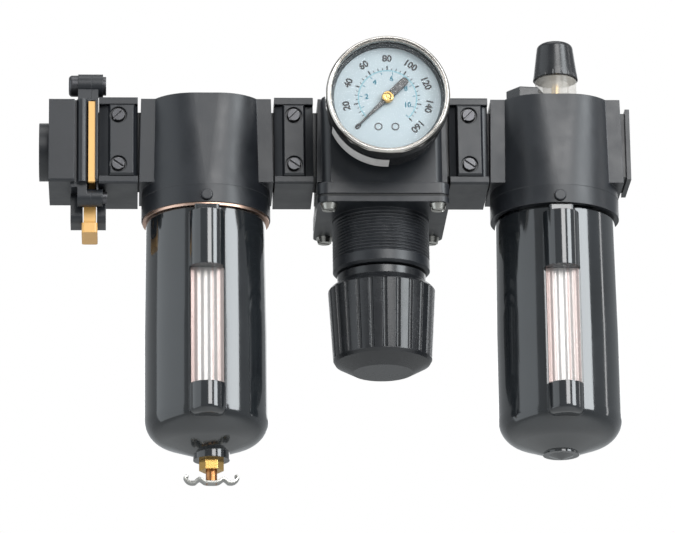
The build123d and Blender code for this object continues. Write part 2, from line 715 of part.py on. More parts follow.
with BuildPart() as bowl_rings:
    for ring_x in (FILTER_X, LUBRICATOR_X):
        with BuildSketch(level(ring_x, -20.5)):
            Circle(BORE_R + 1.3)
            Circle(SPIGOT_R + 0.02, mode=Mode.SUBTRACT)
        extrude(amount=2.2)
write(bowl_rings, "bowl_o_rings")

# --- inside the filter -------------------------------------------------------------------------
with BuildPart() as louver:
    with BuildSketch(level(FILTER_X, CHAMBER_BOTTOM - 6)):
        Circle(18)
        Circle(POST_R + 0.2, mode=Mode.SUBTRACT)
    extrude(amount=5.6)
    with BuildSketch(level(FILTER_X, CHAMBER_BOTTOM - 6)):
        with PolarLocations(17.5, 16):
            Rectangle(6, 1.2, rotation=30)
    extrude(amount=4.4, mode=Mode.SUBTRACT)
write(louver, "filter_louver")

ELEMENT_TOP = CHAMBER_BOTTOM - 6.2
ELEMENT_BOTTOM = -72.0
round_piece(
    "filter_element", FILTER_X,
    [(8, ELEMENT_TOP), (14, ELEMENT_TOP), (14, ELEMENT_BOTTOM), (8, ELEMENT_BOTTOM)],
)
round_piece(
    "element_retainer", FILTER_X,
    [
        (0, 9.5), (3, 9.5), (3, ELEMENT_BOTTOM), (20, ELEMENT_BOTTOM - 2),
        (20, ELEMENT_BOTTOM - 4), (3, ELEMENT_BOTTOM - 6), (0, ELEMENT_BOTTOM - 6),
    ],
)

# --- drain ---------------------------------------------------------------------------------------
NUT_BOTTOM = BOSS_BOTTOM - 4.7
WING_BOTTOM = -153.5
with BuildPart() as drain_nut:
    with BuildSketch(level(FILTER_DRAIN_X, BOSS_BOTTOM)):
        RegularPolygon(5.4, 6)
    extrude(amount=-4.7)
    with BuildSketch(level(FILTER_DRAIN_X, BOSS_BOTTOM)):
        Circle(3.5)
    extrude(amount=7)
    with BuildSketch(level(FILTER_DRAIN_X, NUT_BOTTOM)):
        Circle(2.55)
    extrude(amount=16, mode=Mode.SUBTRACT)
write(drain_nut, "drain_nut")

with BuildPart() as drain_stem:
    with BuildSketch(level(FILTER_DRAIN_X, WING_BOTTOM + 0.8)):
        Circle(2.5)
    extrude(amount=-WING_BOTTOM - 0.8 - 136.0)
    with BuildSketch(level(FILTER_DRAIN_X, WING_BOTTOM)):
        Circle(0.9)
    extrude(amount=14, mode=Mode.SUBTRACT)
write(drain_stem, "drain_stem")

with BuildPart() as drain_wing:
    with BuildSketch(front(FILTER_DRAIN_X, 3, WING_BOTTOM)):
        with BuildLine():
            Polyline(
                (-11.7, 3.4), (-9.6, 3.4), (-8.0, 0.8), (8.0, 0.8), (9.6, 3.4), (11.7, 3.4),
                (11.7, 2.6), (10.2, 2.6), (8.5, 0), (-8.5, 0), (-10.2, 2.6), (-11.7, 2.6), close=True,
            )
        make_face()
    extrude(amount=6)
    with BuildSketch(level(FILTER_DRAIN_X, WING_BOTTOM)):
        Circle(0.9)
    extrude(amount=2, mode=Mode.SUBTRACT)
write(drain_wing, "drain_wing")

# --- inside and on top of the lubricator ------------------------------------------------------------
round_piece(
    "siphon_tube", LUBRICATOR_X + 12,
    [(1.2, -6.6), (3.0, -6.6), (3.0, -128), (1.2, -128)],
)
round_piece(
    "oil_strainer", LUBRICATOR_X + 12,
    [(0, -128.2), (4.2, -128.2), (4.2, -133), (0, -133)],
)
with BuildPart() as flow_flap:
    with BuildSketch(along(LUBRICATOR_X - 6)):
        Circle(FLOW_R - 0.4)
        Circle(2, mode=Mode.SUBTRACT)
    extrude(amount=0.8)
write(flow_flap, "flow_flap")

DOME_BOTTOM = BODY_TOP + 1.4
DOME_TOP = 37.0
with BuildPart() as dome:
    with BuildSketch(front(DOME_X, DOME_Y, 0)):
        with BuildLine():
            Polyline(
                (0, DOME_BOTTOM - 5.8), (7.4, DOME_BOTTOM - 5.8), (7.4, DOME_BOTTOM),
                (9.6, DOME_BOTTOM), (9.4, DOME_TOP - 2), (7.4, DOME_TOP), (0, DOME_TOP), close=True,
            )
        make_face()
    revolve(axis=Axis((DOME_X, DOME_Y, 0), (0, 0, 1)))
    with BuildSketch(level(DOME_X, DOME_BOTTOM - 5.8, DOME_Y)):
        Circle(5.9)
    extrude(amount=DOME_TOP - DOME_BOTTOM + 2.5, mode=Mode.SUBTRACT)
    with BuildSketch(level(DOME_X, DOME_BOTTOM, DOME_Y)):
        Circle(2.05)
    extrude(amount=30, mode=Mode.SUBTRACT)
write(dome, "sight_dome")

KNOB_LIP = 35.6
with BuildPart() as drip_knob:
    with BuildSketch(level(DOME_X, KNOB_LIP, DOME_Y)):
        Circle(10.1)
    with BuildSketch(level(DOME_X, 52.5, DOME_Y)):
        Circle(7.9)
    loft()
    fillet(drip_knob.edges().sort_by(Axis.Z)[-1], 2.4)
    with BuildSketch(level(DOME_X, KNOB_LIP, DOME_Y)):
        with PolarLocations(10.3, 18):
            Circle(0.55)
    extrude(amount=14, mode=Mode.SUBTRACT)
    with BuildSketch(level(DOME_X, KNOB_LIP, DOME_Y)):
        Circle(9.5)
    extrude(amount=1.8, mode=Mode.SUBTRACT)
    with BuildSketch(level(DOME_X, KNOB_LIP, DOME_Y)):
        Circle(3.1)
    extrude(amount=11, mode=Mode.SUBTRACT)
write(drip_knob, "drip_knob")

round_piece(
    "drip_needle", DOME_X,
    [(0, 22.5), (0.7, 24.5), (2.0, 26.5), (2.0, 38.3), (3.0, 38.3), (3.0, 41.5), (0, 41.5)],
    y=DOME_Y,
)

with BuildPart() as fill_plug:
    with BuildSketch(level(PLUG_X, BODY_TOP + 0.8, PLUG_Y)):
        RegularPolygon(8.6, 6, rotation=8)
    extrude(amount=5.6)
    chamfer(fill_plug.edges().group_by(Axis.Z)[-1], 0.5)
    with BuildSketch(level(PLUG_X, BODY_TOP + 0.8, PLUG_Y)):
        Circle(5.1)
    extrude(amount=-9)
write(fill_plug, "fill_plug")

# --- regulator -----------------------------------------------------------------------------------------
REG_HALF = 28.5
DIAPHRAGM_Z = -24.0
with BuildPart() as regulator_body:
    with BuildSketch(level(REGULATOR_X, BONNET_TOP)):
        RectangleRounded(53, 50, 5)
    extrude(amount=BODY_TOP - BONNET_TOP - 1)
    with BuildSketch(front(REGULATOR_X, PLATE_FRONT, 0)):
        with BuildLine():
            Polyline(
                (-REG_HALF + 0.4, BODY_TOP), (REG_HALF - 0.4, BODY_TOP),
                (REG_HALF + 0.4, BODY_BOTTOM), (-REG_HALF - 0.4, BODY_BOTTOM), close=True,
            )
        make_face()
    extrude(amount=2 * PLATE_FRONT)
    with BuildSketch(level(REGULATOR_X, BONNET_TOP)):
        RectangleRounded(58, 58, 4.5)
    extrude(amount=5)
    with BuildSketch(front(REGULATOR_X, -20, -4.3)):
        RectangleRounded(46.5, 42, 2)
    extrude(amount=8.6)
    end_flange(REGULATOR_X, -1)
    end_flange(REGULATOR_X, 1)
    with BuildSketch(along(REGULATOR_X - FLANGE_HALF_WIDTH)):
        Circle(FLOW_R)
    extrude(amount=FLANGE_HALF_WIDTH - 9, mode=Mode.SUBTRACT)
    with BuildSketch(along(REGULATOR_X + FLANGE_HALF_WIDTH)):
        Circle(FLOW_R)
    extrude(amount=-FLANGE_HALF_WIDTH + 12, mode=Mode.SUBTRACT)
    with BuildSketch(level(REGULATOR_X, BODY_TOP)):
        Circle(12)
    extrude(amount=-6, mode=Mode.SUBTRACT)
    with BuildSketch(level(REGULATOR_X, BODY_TOP - 6)):
        Circle(10)
    extrude(amount=-18.5, mode=Mode.SUBTRACT)
    with BuildSketch(level(REGULATOR_X, -2)):
        Circle(5.5)
    extrude(amount=-20, mode=Mode.SUBTRACT)
    with BuildSketch(level(REGULATOR_X + 14, 0)):
        Circle(4)
    extrude(amount=-25, mode=Mode.SUBTRACT)
    with BuildSketch(level(REGULATOR_X, BONNET_TOP)):
        Circle(20)
    extrude(amount=8.4, mode=Mode.SUBTRACT)
    with BuildSketch(front(GAUGE_X, -28.6, GAUGE_Z)):
        Circle(4.6)
    extrude(amount=-12, mode=Mode.SUBTRACT)
    with BuildSketch(level(REGULATOR_X, BONNET_TOP)):
        with GridLocations(2 * BONNET_SCREW_AT, 2 * BONNET_SCREW_AT, 2, 2):
            Circle(1.9)
    extrude(amount=4.2, mode=Mode.SUBTRACT)
write(regulator_body, "regulator_body")

with BuildPart() as valve_cap:
    with BuildSketch(level(REGULATOR_X, BODY_TOP)):
        Circle(11.9)
    extrude(amount=-5.9)
    with BuildSketch(level(REGULATOR_X, BODY_TOP)):
        RegularPolygon(9, 6)
    extrude(amount=3.5)
    with BuildSketch(level(REGULATOR_X, BODY_TOP - 5.9)):
        Circle(4.05)
    extrude(amount=5.5, mode=Mode.SUBTRACT)
write(valve_cap, "regulator_valve_cap")

round_piece(
    "regulator_poppet", REGULATOR_X,
    [
        (0, -22.3), (2, -22.3), (2, -4.9), (8, -4.6), (8, -1.6), (4, -1.6),
        (4, 16), (0, 16),
    ],
)
coil_spring("poppet_spring", REGULATOR_X, 6.2, 0.6, -0.9, 12.7, 5)

with BuildPart() as diaphragm:
    with BuildSketch(level(REGULATOR_X, BONNET_TOP)):
        RectangleRounded(57, 57, 4)
        Circle(20, mode=Mode.SUBTRACT)
        with GridLocations(2 * BONNET_SCREW_AT, 2 * BONNET_SCREW_AT, 2, 2):
            Circle(2.1, mode=Mode.SUBTRACT)
    extrude(amount=-1.2)
    with BuildSketch(level(REGULATOR_X, BONNET_TOP - 1.2)):
        Circle(21)
        Circle(15.3, mode=Mode.SUBTRACT)
    extrude(amount=1.2)
write(diaphragm, "diaphragm")

round_piece(
    "diaphragm_plate", REGULATOR_X,
    [
        (0, -22.6), (4, -22.6), (4, -27.0), (15, -27.0), (15, -31.0), (11, -31.0),
        (11, -33.4), (0, -33.4),
    ],
)
coil_spring("control_spring", REGULATOR_X, 13.0, 1.6, -48.4, -32.9, 2.5)

SPRING_NUT_TOP = -50.2
SPRING_NUT_BOTTOM = -54.2
with BuildPart() as spring_nut:
    with BuildSketch(level(REGULATOR_X, SPRING_NUT_BOTTOM)):
        Circle(16)
        with Locations((-16.5, 0), (16.5, 0)):
            Rectangle(4, 4, mode=Mode.SUBTRACT)
        Circle(3.05, mode=Mode.SUBTRACT)
    extrude(amount=SPRING_NUT_TOP - SPRING_NUT_BOTTOM)
write(spring_nut, "spring_nut")

round_piece(
    "adjusting_screw", REGULATOR_X,
    [
        (0, -36.0), (3.0, -36.0), (3.0, -55.0), (6.0, -55.0), (6.0, -56.0), (4.0, -56.0),
        (4.0, -80.6), (0, -80.6),
    ],
)

with BuildPart() as bonnet:
    with BuildSketch(level(REGULATOR_X, BONNET_TOP - 1.2)):
        RectangleRounded(58, 58, 4.5)
    extrude(amount=BONNET_FLANGE_BOTTOM - BONNET_TOP + 1.2)
    with BuildSketch(level(REGULATOR_X, BONNET_FLANGE_BOTTOM)):
        Circle(THREAD_R)
    extrude(amount=BONNET_BOTTOM - BONNET_FLANGE_BOTTOM)
    chamfer(bonnet.edges().filter_by(GeomType.CIRCLE).sort_by(Axis.Z)[0], 1.2)
    ridge_count = int((BONNET_FLANGE_BOTTOM - 1.5 - THREAD_BOTTOM) / THREAD_PITCH)
    with BuildSketch(front(REGULATOR_X, 0, 0)):
        for ridge in range(ridge_count):
            top = BONNET_FLANGE_BOTTOM - 1.5 - ridge * THREAD_PITCH
            with BuildLine():
                Polyline(
                    (THREAD_R + 0.1, top), (THREAD_R - 0.7, top - THREAD_PITCH / 2),
                    (THREAD_R + 0.1, top - THREAD_PITCH), close=True,
                )
            make_face()
    revolve(axis=Axis((REGULATOR_X, 0, 0), (0, 0, 1)), mode=Mode.SUBTRACT)
    with BuildSketch(level(REGULATOR_X, BONNET_TOP - 1.2)):
        Circle(16.4)
    extrude(amount=-25.1, mode=Mode.SUBTRACT)
    with BuildSketch(level(REGULATOR_X, BONNET_BOTTOM)):
        Circle(4.06)
    extrude(amount=10, mode=Mode.SUBTRACT)
    with BuildSketch(level(REGULATOR_X, BONNET_BOTTOM + 1)):
        Circle(6.2)
    extrude(amount=10, mode=Mode.SUBTRACT)
    with BuildSketch(level(REGULATOR_X, BONNET_TOP - 1.2)):
        with GridLocations(2 * BONNET_SCREW_AT, 2 * BONNET_SCREW_AT, 2, 2):
            Circle(1.9)
    extrude(amount=-10, mode=Mode.SUBTRACT)
write(bonnet, "regulator_bonnet")

with BuildPart() as bonnet_screws:
    for corner_x in (-BONNET_SCREW_AT, BONNET_SCREW_AT):
        for corner_y in (-BONNET_SCREW_AT, BONNET_SCREW_AT):
            with BuildSketch(level(REGULATOR_X + corner_x, BONNET_FLANGE_BOTTOM, corner_y)):
                Circle(3.8)
            extrude(amount=-2.6, taper=18)
            with BuildSketch(level(REGULATOR_X + corner_x, BONNET_FLANGE_BOTTOM - 2.6, corner_y)):
                Rectangle(10, 1.1, rotation=25)
            extrude(amount=1.2, mode=Mode.SUBTRACT)
            with BuildSketch(level(REGULATOR_X + corner_x, BONNET_FLANGE_BOTTOM, corner_y)):
                Circle(1.8)
            extrude(amount=7.6)
write(bonnet_screws, "bonnet_screws")

KNOB_NECK_R = 19.6
KNOB_SHOULDER = -61.4
RIB_TOP = -64.6
RIB_BOTTOM = -96.6
RIB_GROOVE_R = 1.05
RIB_MIDDLE = (RIB_TOP + RIB_BOTTOM) / 2
RIB_MIDDLE_R = (KNOB_TOP_R + KNOB_BOTTOM_R) / 2 + 0.2
RIB_LEAN = math.degrees(math.atan2(KNOB_TOP_R - KNOB_BOTTOM_R, RIB_TOP - RIB_BOTTOM))
with BuildPart() as knob:
    with BuildSketch(front(REGULATOR_X, 0, 0)):
        with BuildLine():
            Polyline(
                (0, KNOB_TOP), (KNOB_NECK_R, KNOB_TOP), (KNOB_NECK_R, KNOB_SHOULDER),
                (KNOB_TOP_R - 0.8, RIB_TOP + 0.6), (KNOB_TOP_R, RIB_TOP - 0.6),
                (KNOB_BOTTOM_R, RIB_BOTTOM), (KNOB_BOTTOM_R - 0.9, RIB_BOTTOM - 1.5),
                (KNOB_BOTTOM_R - 8.4, KNOB_BOTTOM), (0, KNOB_BOTTOM), close=True,
            )
        make_face()
    revolve(axis=Axis((REGULATOR_X, 0, 0), (0, 0, 1)))
    with Locations((REGULATOR_X, 0, RIB_MIDDLE)):
        with PolarLocations(RIB_MIDDLE_R, KNOB_RIBS):
            Cylinder(
                RIB_GROOVE_R, RIB_TOP - RIB_BOTTOM - 0.6, rotation=(0, RIB_LEAN, 0), mode=Mode.SUBTRACT
            )
    with BuildSketch(level(REGULATOR_X, KNOB_TOP)):
        Circle(4.06)
    extrude(amount=-26, mode=Mode.SUBTRACT)
write(knob, "pressure_knob")

# --- pressure gauge ---------------------------------------------------------------------------------------
DIAL_Y = -50.5
with BuildPart() as gauge_socket:
    with BuildSketch(front(GAUGE_X, -18.5, GAUGE_Z)):
        Circle(4.5)
    extrude(amount=10.1)
    with BuildSketch(front(GAUGE_X, -28.6, GAUGE_Z)):
        RegularPolygon(8, 6)
    extrude(amount=-GAUGE_BACK_Y - 28.6)
    with BuildSketch(front(GAUGE_X, GAUGE_BACK_Y, GAUGE_Z)):
        Circle(4.5)
    extrude(amount=6)
    with BuildSketch(front(GAUGE_X, -18.5, GAUGE_Z)):
        Circle(1.5)
    extrude(amount=15, mode=Mode.SUBTRACT)
write(gauge_socket, "gauge_socket")

with BuildPart() as gauge_case:
    with BuildSketch(front(GAUGE_X, GAUGE_BACK_Y, GAUGE_Z)):
        Circle(25.6)
    extrude(amount=GAUGE_BACK_Y - GAUGE_FRONT_Y - 4.0)
    fillet(gauge_case.edges().sort_by(Axis.Y)[-1], 2.0)
    with BuildSketch(front(GAUGE_X, GAUGE_BACK_Y - 1.2, GAUGE_Z)):
        Circle(24.4)
    extrude(amount=30, mode=Mode.SUBTRACT)
    with BuildSketch(front(GAUGE_X, GAUGE_BACK_Y, GAUGE_Z)):
        Circle(4.55)
    extrude(amount=3, mode=Mode.SUBTRACT)
write(gauge_case, "gauge_case")

with BuildPart() as gauge_bezel:
    with BuildSketch(front(GAUGE_X, GAUGE_FRONT_Y + 4.0, GAUGE_Z)):
        Circle(GAUGE_R)
        Circle(25.7, mode=Mode.SUBTRACT)
    extrude(amount=-4)
    with BuildSketch(front(GAUGE_X, GAUGE_FRONT_Y + 4.0, GAUGE_Z)):
        Circle(GAUGE_R)
        Circle(24.6, mode=Mode.SUBTRACT)
    extrude(amount=4.0)
    fillet(gauge_bezel.edges().filter_by(GeomType.CIRCLE).group_by(Axis.Y)[0], 1.0)
write(gauge_bezel, "gauge_bezel")

with BuildPart() as gauge_lens:
    with BuildSketch(front(GAUGE_X, GAUGE_FRONT_Y + 3.2, GAUGE_Z)):
        Circle(24.55)
    extrude(amount=1.6)
write(gauge_lens, "gauge_lens")

with BuildPart() as gauge_dial:
    with BuildSketch(front(GAUGE_X, DIAL_Y + 0.6, GAUGE_Z)):
        Circle(24.3)
        Circle(2.2, mode=Mode.SUBTRACT)
    extrude(amount=0.6)
write(gauge_dial, "gauge_dial")

POINTER_ANGLE = 225.0
with BuildPart() as gauge_pointer:
    with BuildSketch(Plane(
        origin=(GAUGE_X, DIAL_Y - 0.8, GAUGE_Z),
        x_dir=(math.cos(math.radians(POINTER_ANGLE)), 0, math.sin(math.radians(POINTER_ANGLE))),
        z_dir=(0, -1, 0),
    )):
        with BuildLine():
            Polyline(
                (-12.5, -1.8), (-12.5, 1.8), (-3.0, 1.1), (18, 0.45), (20.0, 0), (18, -0.45),
                (-3.0, -1.1), close=True,
            )
        make_face()
        Circle(2.4)
    extrude(amount=0.7)
    with BuildSketch(front(GAUGE_X, DIAL_Y + 5, GAUGE_Z)):
        Circle(1.2)
    extrude(amount=6.8)
write(gauge_pointer, "gauge_pointer")

with BuildPart() as bourdon_tube:
    with BuildSketch(front(GAUGE_X, -41.5, GAUGE_Z)):
        ring_sector(17.0, 14.6, 90, 270)
    extrude(amount=5)
write(bourdon_tube, "bourdon_tube")
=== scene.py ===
"""Finishes, fine pieces and a studio for a filter, regulator and lubricator unit.

Everything is in metres in the frame's own axes: +X along the air line, -Y towards the gauge, +Z up.
"""

import json
import math

import bmesh
import bpy
from bpy.props import FloatProperty, FloatVectorProperty, IntProperty, PointerProperty
from mathutils import Matrix, Vector


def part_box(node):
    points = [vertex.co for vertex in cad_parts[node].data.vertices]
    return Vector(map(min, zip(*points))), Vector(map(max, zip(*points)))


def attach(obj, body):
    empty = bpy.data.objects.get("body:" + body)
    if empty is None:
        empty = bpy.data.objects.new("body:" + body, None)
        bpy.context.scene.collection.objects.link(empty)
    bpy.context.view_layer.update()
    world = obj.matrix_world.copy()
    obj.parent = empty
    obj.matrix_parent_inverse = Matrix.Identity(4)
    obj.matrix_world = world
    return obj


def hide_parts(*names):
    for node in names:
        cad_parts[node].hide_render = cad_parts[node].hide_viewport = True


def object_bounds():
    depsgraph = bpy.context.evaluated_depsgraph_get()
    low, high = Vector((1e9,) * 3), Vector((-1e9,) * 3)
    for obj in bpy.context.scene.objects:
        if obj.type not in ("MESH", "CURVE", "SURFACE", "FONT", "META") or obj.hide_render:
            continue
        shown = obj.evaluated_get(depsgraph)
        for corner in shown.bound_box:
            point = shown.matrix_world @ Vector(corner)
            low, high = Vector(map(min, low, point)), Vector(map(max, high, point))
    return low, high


bl_info = {
    "name": "Air service unit",
    "version": (1, 0, 0),
    "blender": (4, 5, 0),
    "location": "View3D > Sidebar > Air unit",
    "description": "Dresses a compressed-air filter, regulator and lubricator and sets up its studio",
    "category": "Object",
}

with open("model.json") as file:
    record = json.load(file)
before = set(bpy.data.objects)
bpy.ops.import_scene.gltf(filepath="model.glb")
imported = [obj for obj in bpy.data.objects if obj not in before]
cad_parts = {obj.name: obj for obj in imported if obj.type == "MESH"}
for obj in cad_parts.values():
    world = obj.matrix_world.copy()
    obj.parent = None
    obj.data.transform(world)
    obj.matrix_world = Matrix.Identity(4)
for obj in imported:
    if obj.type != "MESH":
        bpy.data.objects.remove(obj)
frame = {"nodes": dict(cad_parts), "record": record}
CAD_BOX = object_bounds()
MM = 0.001
TURN_STEPS = 96

SLOT_OF_NODE = {part["node"]: part["material_slot"] for part in frame["record"]["subparts"]}


# --- shader building ---------------------------------------------------------------------------


class Wires:
    """Adds nodes to one node tree and joins their sockets."""

    def __init__(self, tree):
        self.tree = tree

    def add(self, kind, **settings):
        node = self.tree.nodes.new(kind)
        for name, value in settings.items():
            setattr(node, name, value)
        return node

    def join(self, source, target):
        self.tree.links.new(source, target)

    def maths(self, operation, first, second, clamp=False):
        node = self.add("ShaderNodeMath", operation=operation, use_clamp=clamp)
        for socket, value in zip(node.inputs, (first, second)):
            if isinstance(value, (int, float)):
                socket.default_value = value
            else:
                self.join(value, socket)
        return node.outputs[0]

    def blend(self, factor, first, second):
        """A colour mix. Each colour is a socket or three numbers."""
        node = self.add("ShaderNodeMix", data_type="RGBA")
        self.join(factor, node.inputs["Factor"])
        for socket, value in ((node.inputs["A"], first), (node.inputs["B"], second)):
            colour_sockets = [s for s in node.inputs if s.name == socket.name and s.type == "RGBA"]
            if isinstance(value, bpy.types.NodeSocket):
                self.join(value, colour_sockets[0])
            else:
                colour_sockets[0].default_value = (*value, 1.0)
        return next(s for s in node.outputs if s.type == "RGBA")

    def spread(self, value, low, high):
        """Maps 0 to 1 onto low to high."""
        node = self.add("ShaderNodeMapRange")
        self.join(value, node.inputs["Value"])
        node.inputs["To Min"].default_value = low
        node.inputs["To Max"].default_value = high
        return node.outputs["Result"]


def effect_group(name, inputs, outputs):
    """A node group with named sockets, ready to be filled."""
    group = bpy.data.node_groups.new(name, "ShaderNodeTree")
    for label, kind, default in inputs:
        socket = group.interface.new_socket(label, in_out="INPUT", socket_type=kind)
        socket.default_value = default
    for label, kind in outputs:
        group.interface.new_socket(label, in_out="OUTPUT", socket_type=kind)
    wires = Wires(group)
    return group, wires, wires.add("NodeGroupInput"), wires.add("NodeGroupOutput")


def edge_wear_group():
    """Where a corner is rubbed, and the normal of a slightly rounded corner."""
    group, wires, given, result = effect_group(
        "edge_wear",
        [("Radius", "NodeSocketFloat", 0.4 * MM), ("Amount", "NodeSocketFloat", 0.5)],
        [("Mask", "NodeSocketFloat"), ("Normal", "NodeSocketVector")],
    )
    rounded = wires.add("ShaderNodeBevel", samples=4)
    wires.join(given.outputs["Radius"], rounded.inputs["Radius"])
    surface = wires.add("ShaderNodeNewGeometry")
    facing = wires.add("ShaderNodeVectorMath", operation="DOT_PRODUCT")
    wires.join(rounded.outputs["Normal"], facing.inputs[0])
    wires.join(surface.outputs["True Normal"], facing.inputs[1])
    turned_away = wires.maths("SUBTRACT", 1.0, facing.outputs["Value"])
    corner = wires.maths("MULTIPLY", turned_away, 9.0, clamp=True)
    place = wires.add("ShaderNodeTexCoord")
    patches = wires.add("ShaderNodeTexNoise")
    patches.inputs["Scale"].default_value = 260.0
    patches.inputs["Detail"].default_value = 4.0
    wires.join(place.outputs["Object"], patches.inputs["Vector"])
    broken = wires.maths("MULTIPLY", wires.spread(patches.outputs["Fac"], -0.9, 2.0), corner, clamp=True)
    wires.join(wires.maths("MULTIPLY", broken, given.outputs["Amount"]), result.inputs["Mask"])
    wires.join(rounded.outputs["Normal"], result.inputs["Normal"])
    return group


def surface_grain_group():
    """Fine relief and a slower change of tone, both in the object's own space."""
    group, wires, given, result = effect_group(
        "surface_grain",
        [("Scale", "NodeSocketFloat", 900.0), ("Stretch", "NodeSocketVector", (1.0, 1.0, 1.0))],
        [("Height", "NodeSocketFloat"), ("Tone", "NodeSocketFloat")],
    )
    place = wires.add("ShaderNodeTexCoord")
    stretched = wires.add("ShaderNodeVectorMath", operation="MULTIPLY")
    wires.join(place.outputs["Object"], stretched.inputs[0])
    wires.join(given.outputs["Stretch"], stretched.inputs[1])
    fine = wires.add("ShaderNodeTexNoise")
    fine.inputs["Detail"].default_value = 3.0
    wires.join(stretched.outputs["Vector"], fine.inputs["Vector"])
    wires.join(given.outputs["Scale"], fine.inputs["Scale"])
    slow = wires.add("ShaderNodeTexNoise")
    slow.inputs["Detail"].default_value = 5.0
    slow.inputs["Roughness"].default_value = 0.65
    wires.join(stretched.outputs["Vector"], slow.inputs["Vector"])
    wires.join(wires.maths("MULTIPLY", given.outputs["Scale"], 0.06), slow.inputs["Scale"])
    wires.join(fine.outputs["Fac"], result.inputs["Height"])
    wires.join(wires.spread(slow.outputs["Fac"], -0.5, 1.5), result.inputs["Tone"])
    return group


EFFECTS = {"edge_wear": edge_wear_group(), "surface_grain": surface_grain_group()}


def effect(wires, name, **values):
    """One effect group placed in a material with its own values."""
    node = wires.add("ShaderNodeGroup", node_tree=EFFECTS[name])
    for label, value in values.items():
        node.inputs[label].default_value = value
    return node


def surface(
    name,
    colour,
    second,
    roughness,
    metallic=0.0,
    grain=900.0,
    stretch=(1.0, 1.0, 1.0),
    relief=0.02,
    strength=0.3,
    worn=None,
    wear=0.0,
    edge=0.35,
    bare_metal=False,
    coat=0.0,
):
    """A solid finish: two tones, a roughness range, fine relief and rubbed, softened corners."""
    material = bpy.data.materials.new(name)
    material.use_nodes = True
    wires = Wires(material.node_tree)
    shader = material.node_tree.nodes["Principled BSDF"]
    texture = effect(wires, "surface_grain", Scale=grain, Stretch=stretch)
    corners = effect(wires, "edge_wear", Radius=edge * MM, Amount=wear)
    tone = wires.blend(texture.outputs["Tone"], colour, second)
    if worn is not None:
        tone = wires.blend(corners.outputs["Mask"], tone, worn)
    wires.join(tone, shader.inputs["Base Color"])
    wires.join(wires.spread(texture.outputs["Tone"], *roughness), shader.inputs["Roughness"])
    if bare_metal:
        wires.join(corners.outputs["Mask"], shader.inputs["Metallic"])
    else:
        shader.inputs["Metallic"].default_value = metallic
    shader.inputs["Coat Weight"].default_value = coat
    shader.inputs["Coat Roughness"].default_value = 0.06
    bump = wires.add("ShaderNodeBump")
    bump.inputs["Strength"].default_value = strength
    bump.inputs["Distance"].default_value = relief * MM
    wires.join(texture.outputs["Height"], bump.inputs["Height"])
    wires.join(corners.outputs["Normal"], bump.inputs["Normal"])
    wires.join(bump.outputs["Normal"], shader.inputs["Normal"])
    return material


def clear(name, colour, roughness, alpha):
    """A thin clear moulding: mostly see-through, with a gloss and faint scuffs in it."""
    material = bpy.data.materials.new(name)
    material.use_nodes = True
    wires = Wires(material.node_tree)
    shader = material.node_tree.nodes["Principled BSDF"]
    texture = effect(wires, "surface_grain", Scale=500.0)
    wires.join(wires.blend(texture.outputs["Tone"], colour, [0.97 * part for part in colour]),
               shader.inputs["Base Color"])
    wires.join(wires.spread(texture.outputs["Tone"], *roughness), shader.inputs["Roughness"])
    shader.inputs["Alpha"].default_value = alpha
    return material


# --- finishes ----------------------------------------------------------------------------------


def charcoal_paint(settings):
    colour = tuple(settings.paint)
    lighter = tuple(1.5 * part for part in colour)
    return surface("charcoal_paint", colour, lighter, (0.3, 0.46), grain=1500.0, relief=0.05,
                   strength=0.35, worn=(0.2, 0.2, 0.21), wear=0.35, edge=0.5, bare_metal=True)


def bowl_gloss(settings):
    colour = tuple(settings.enamel)
    lighter = tuple(1.6 * part for part in colour)
    return surface("bowl_gloss", colour, lighter, (0.07, 0.16), grain=600.0, relief=0.02,
                   strength=0.15, worn=(0.1, 0.1, 0.1), wear=0.2, edge=0.6, coat=0.6)


def zinc_plating(settings):
    return surface("zinc_plating", (0.5, 0.5, 0.47), (0.34, 0.33, 0.3), (0.2, 0.42), metallic=1.0,
                   grain=1400.0, relief=0.03, strength=0.3, worn=(0.8, 0.79, 0.76), wear=0.6, edge=0.25)


def black_steel(settings):
    return surface("black_steel", (0.05, 0.05, 0.055), (0.1, 0.1, 0.105), (0.24, 0.4), metallic=0.85,
                   grain=1600.0, relief=0.02, strength=0.3, worn=(0.5, 0.49, 0.47), wear=0.8, edge=0.25)


def chrome_plating(settings):
    return surface("chrome_plating", (0.46, 0.44, 0.41), (0.34, 0.32, 0.3), (0.05, 0.12), metallic=1.0,
                   grain=700.0, relief=0.008, strength=0.2, worn=(0.9, 0.9, 0.88), wear=0.3, edge=0.35)


def yellow_brass(settings):
    return surface("yellow_brass", (0.78, 0.5, 0.16), (0.6, 0.36, 0.1), (0.14, 0.3), metallic=1.0,
                   grain=1200.0, stretch=(1.0, 1.0, 3.0), relief=0.02, strength=0.3,
                   worn=(0.95, 0.76, 0.4), wear=0.7, edge=0.3)


def old_copper(settings):
    return surface("old_copper", (0.72, 0.5, 0.4), (0.5, 0.32, 0.24), (0.22, 0.42), metallic=1.0,
                   grain=1300.0, relief=0.03, strength=0.3, worn=(0.9, 0.74, 0.62), wear=0.6, edge=0.25)


def stem_bronze(settings):
    return surface("stem_bronze", (0.42, 0.2, 0.08), (0.3, 0.13, 0.05), (0.25, 0.4), metallic=1.0,
                   grain=1300.0, stretch=(1.0, 1.0, 4.0), relief=0.03, strength=0.35,
                   worn=(0.7, 0.42, 0.2), wear=0.6, edge=0.25)


def slide_yellow(settings):
    colour = tuple(settings.slide)
    deeper = tuple(0.85 * part for part in colour)
    return surface("slide_yellow", colour, deeper, (0.28, 0.42), grain=1100.0, relief=0.03,
                   strength=0.25, worn=(0.42, 0.25, 0.1), wear=0.4, edge=0.35)


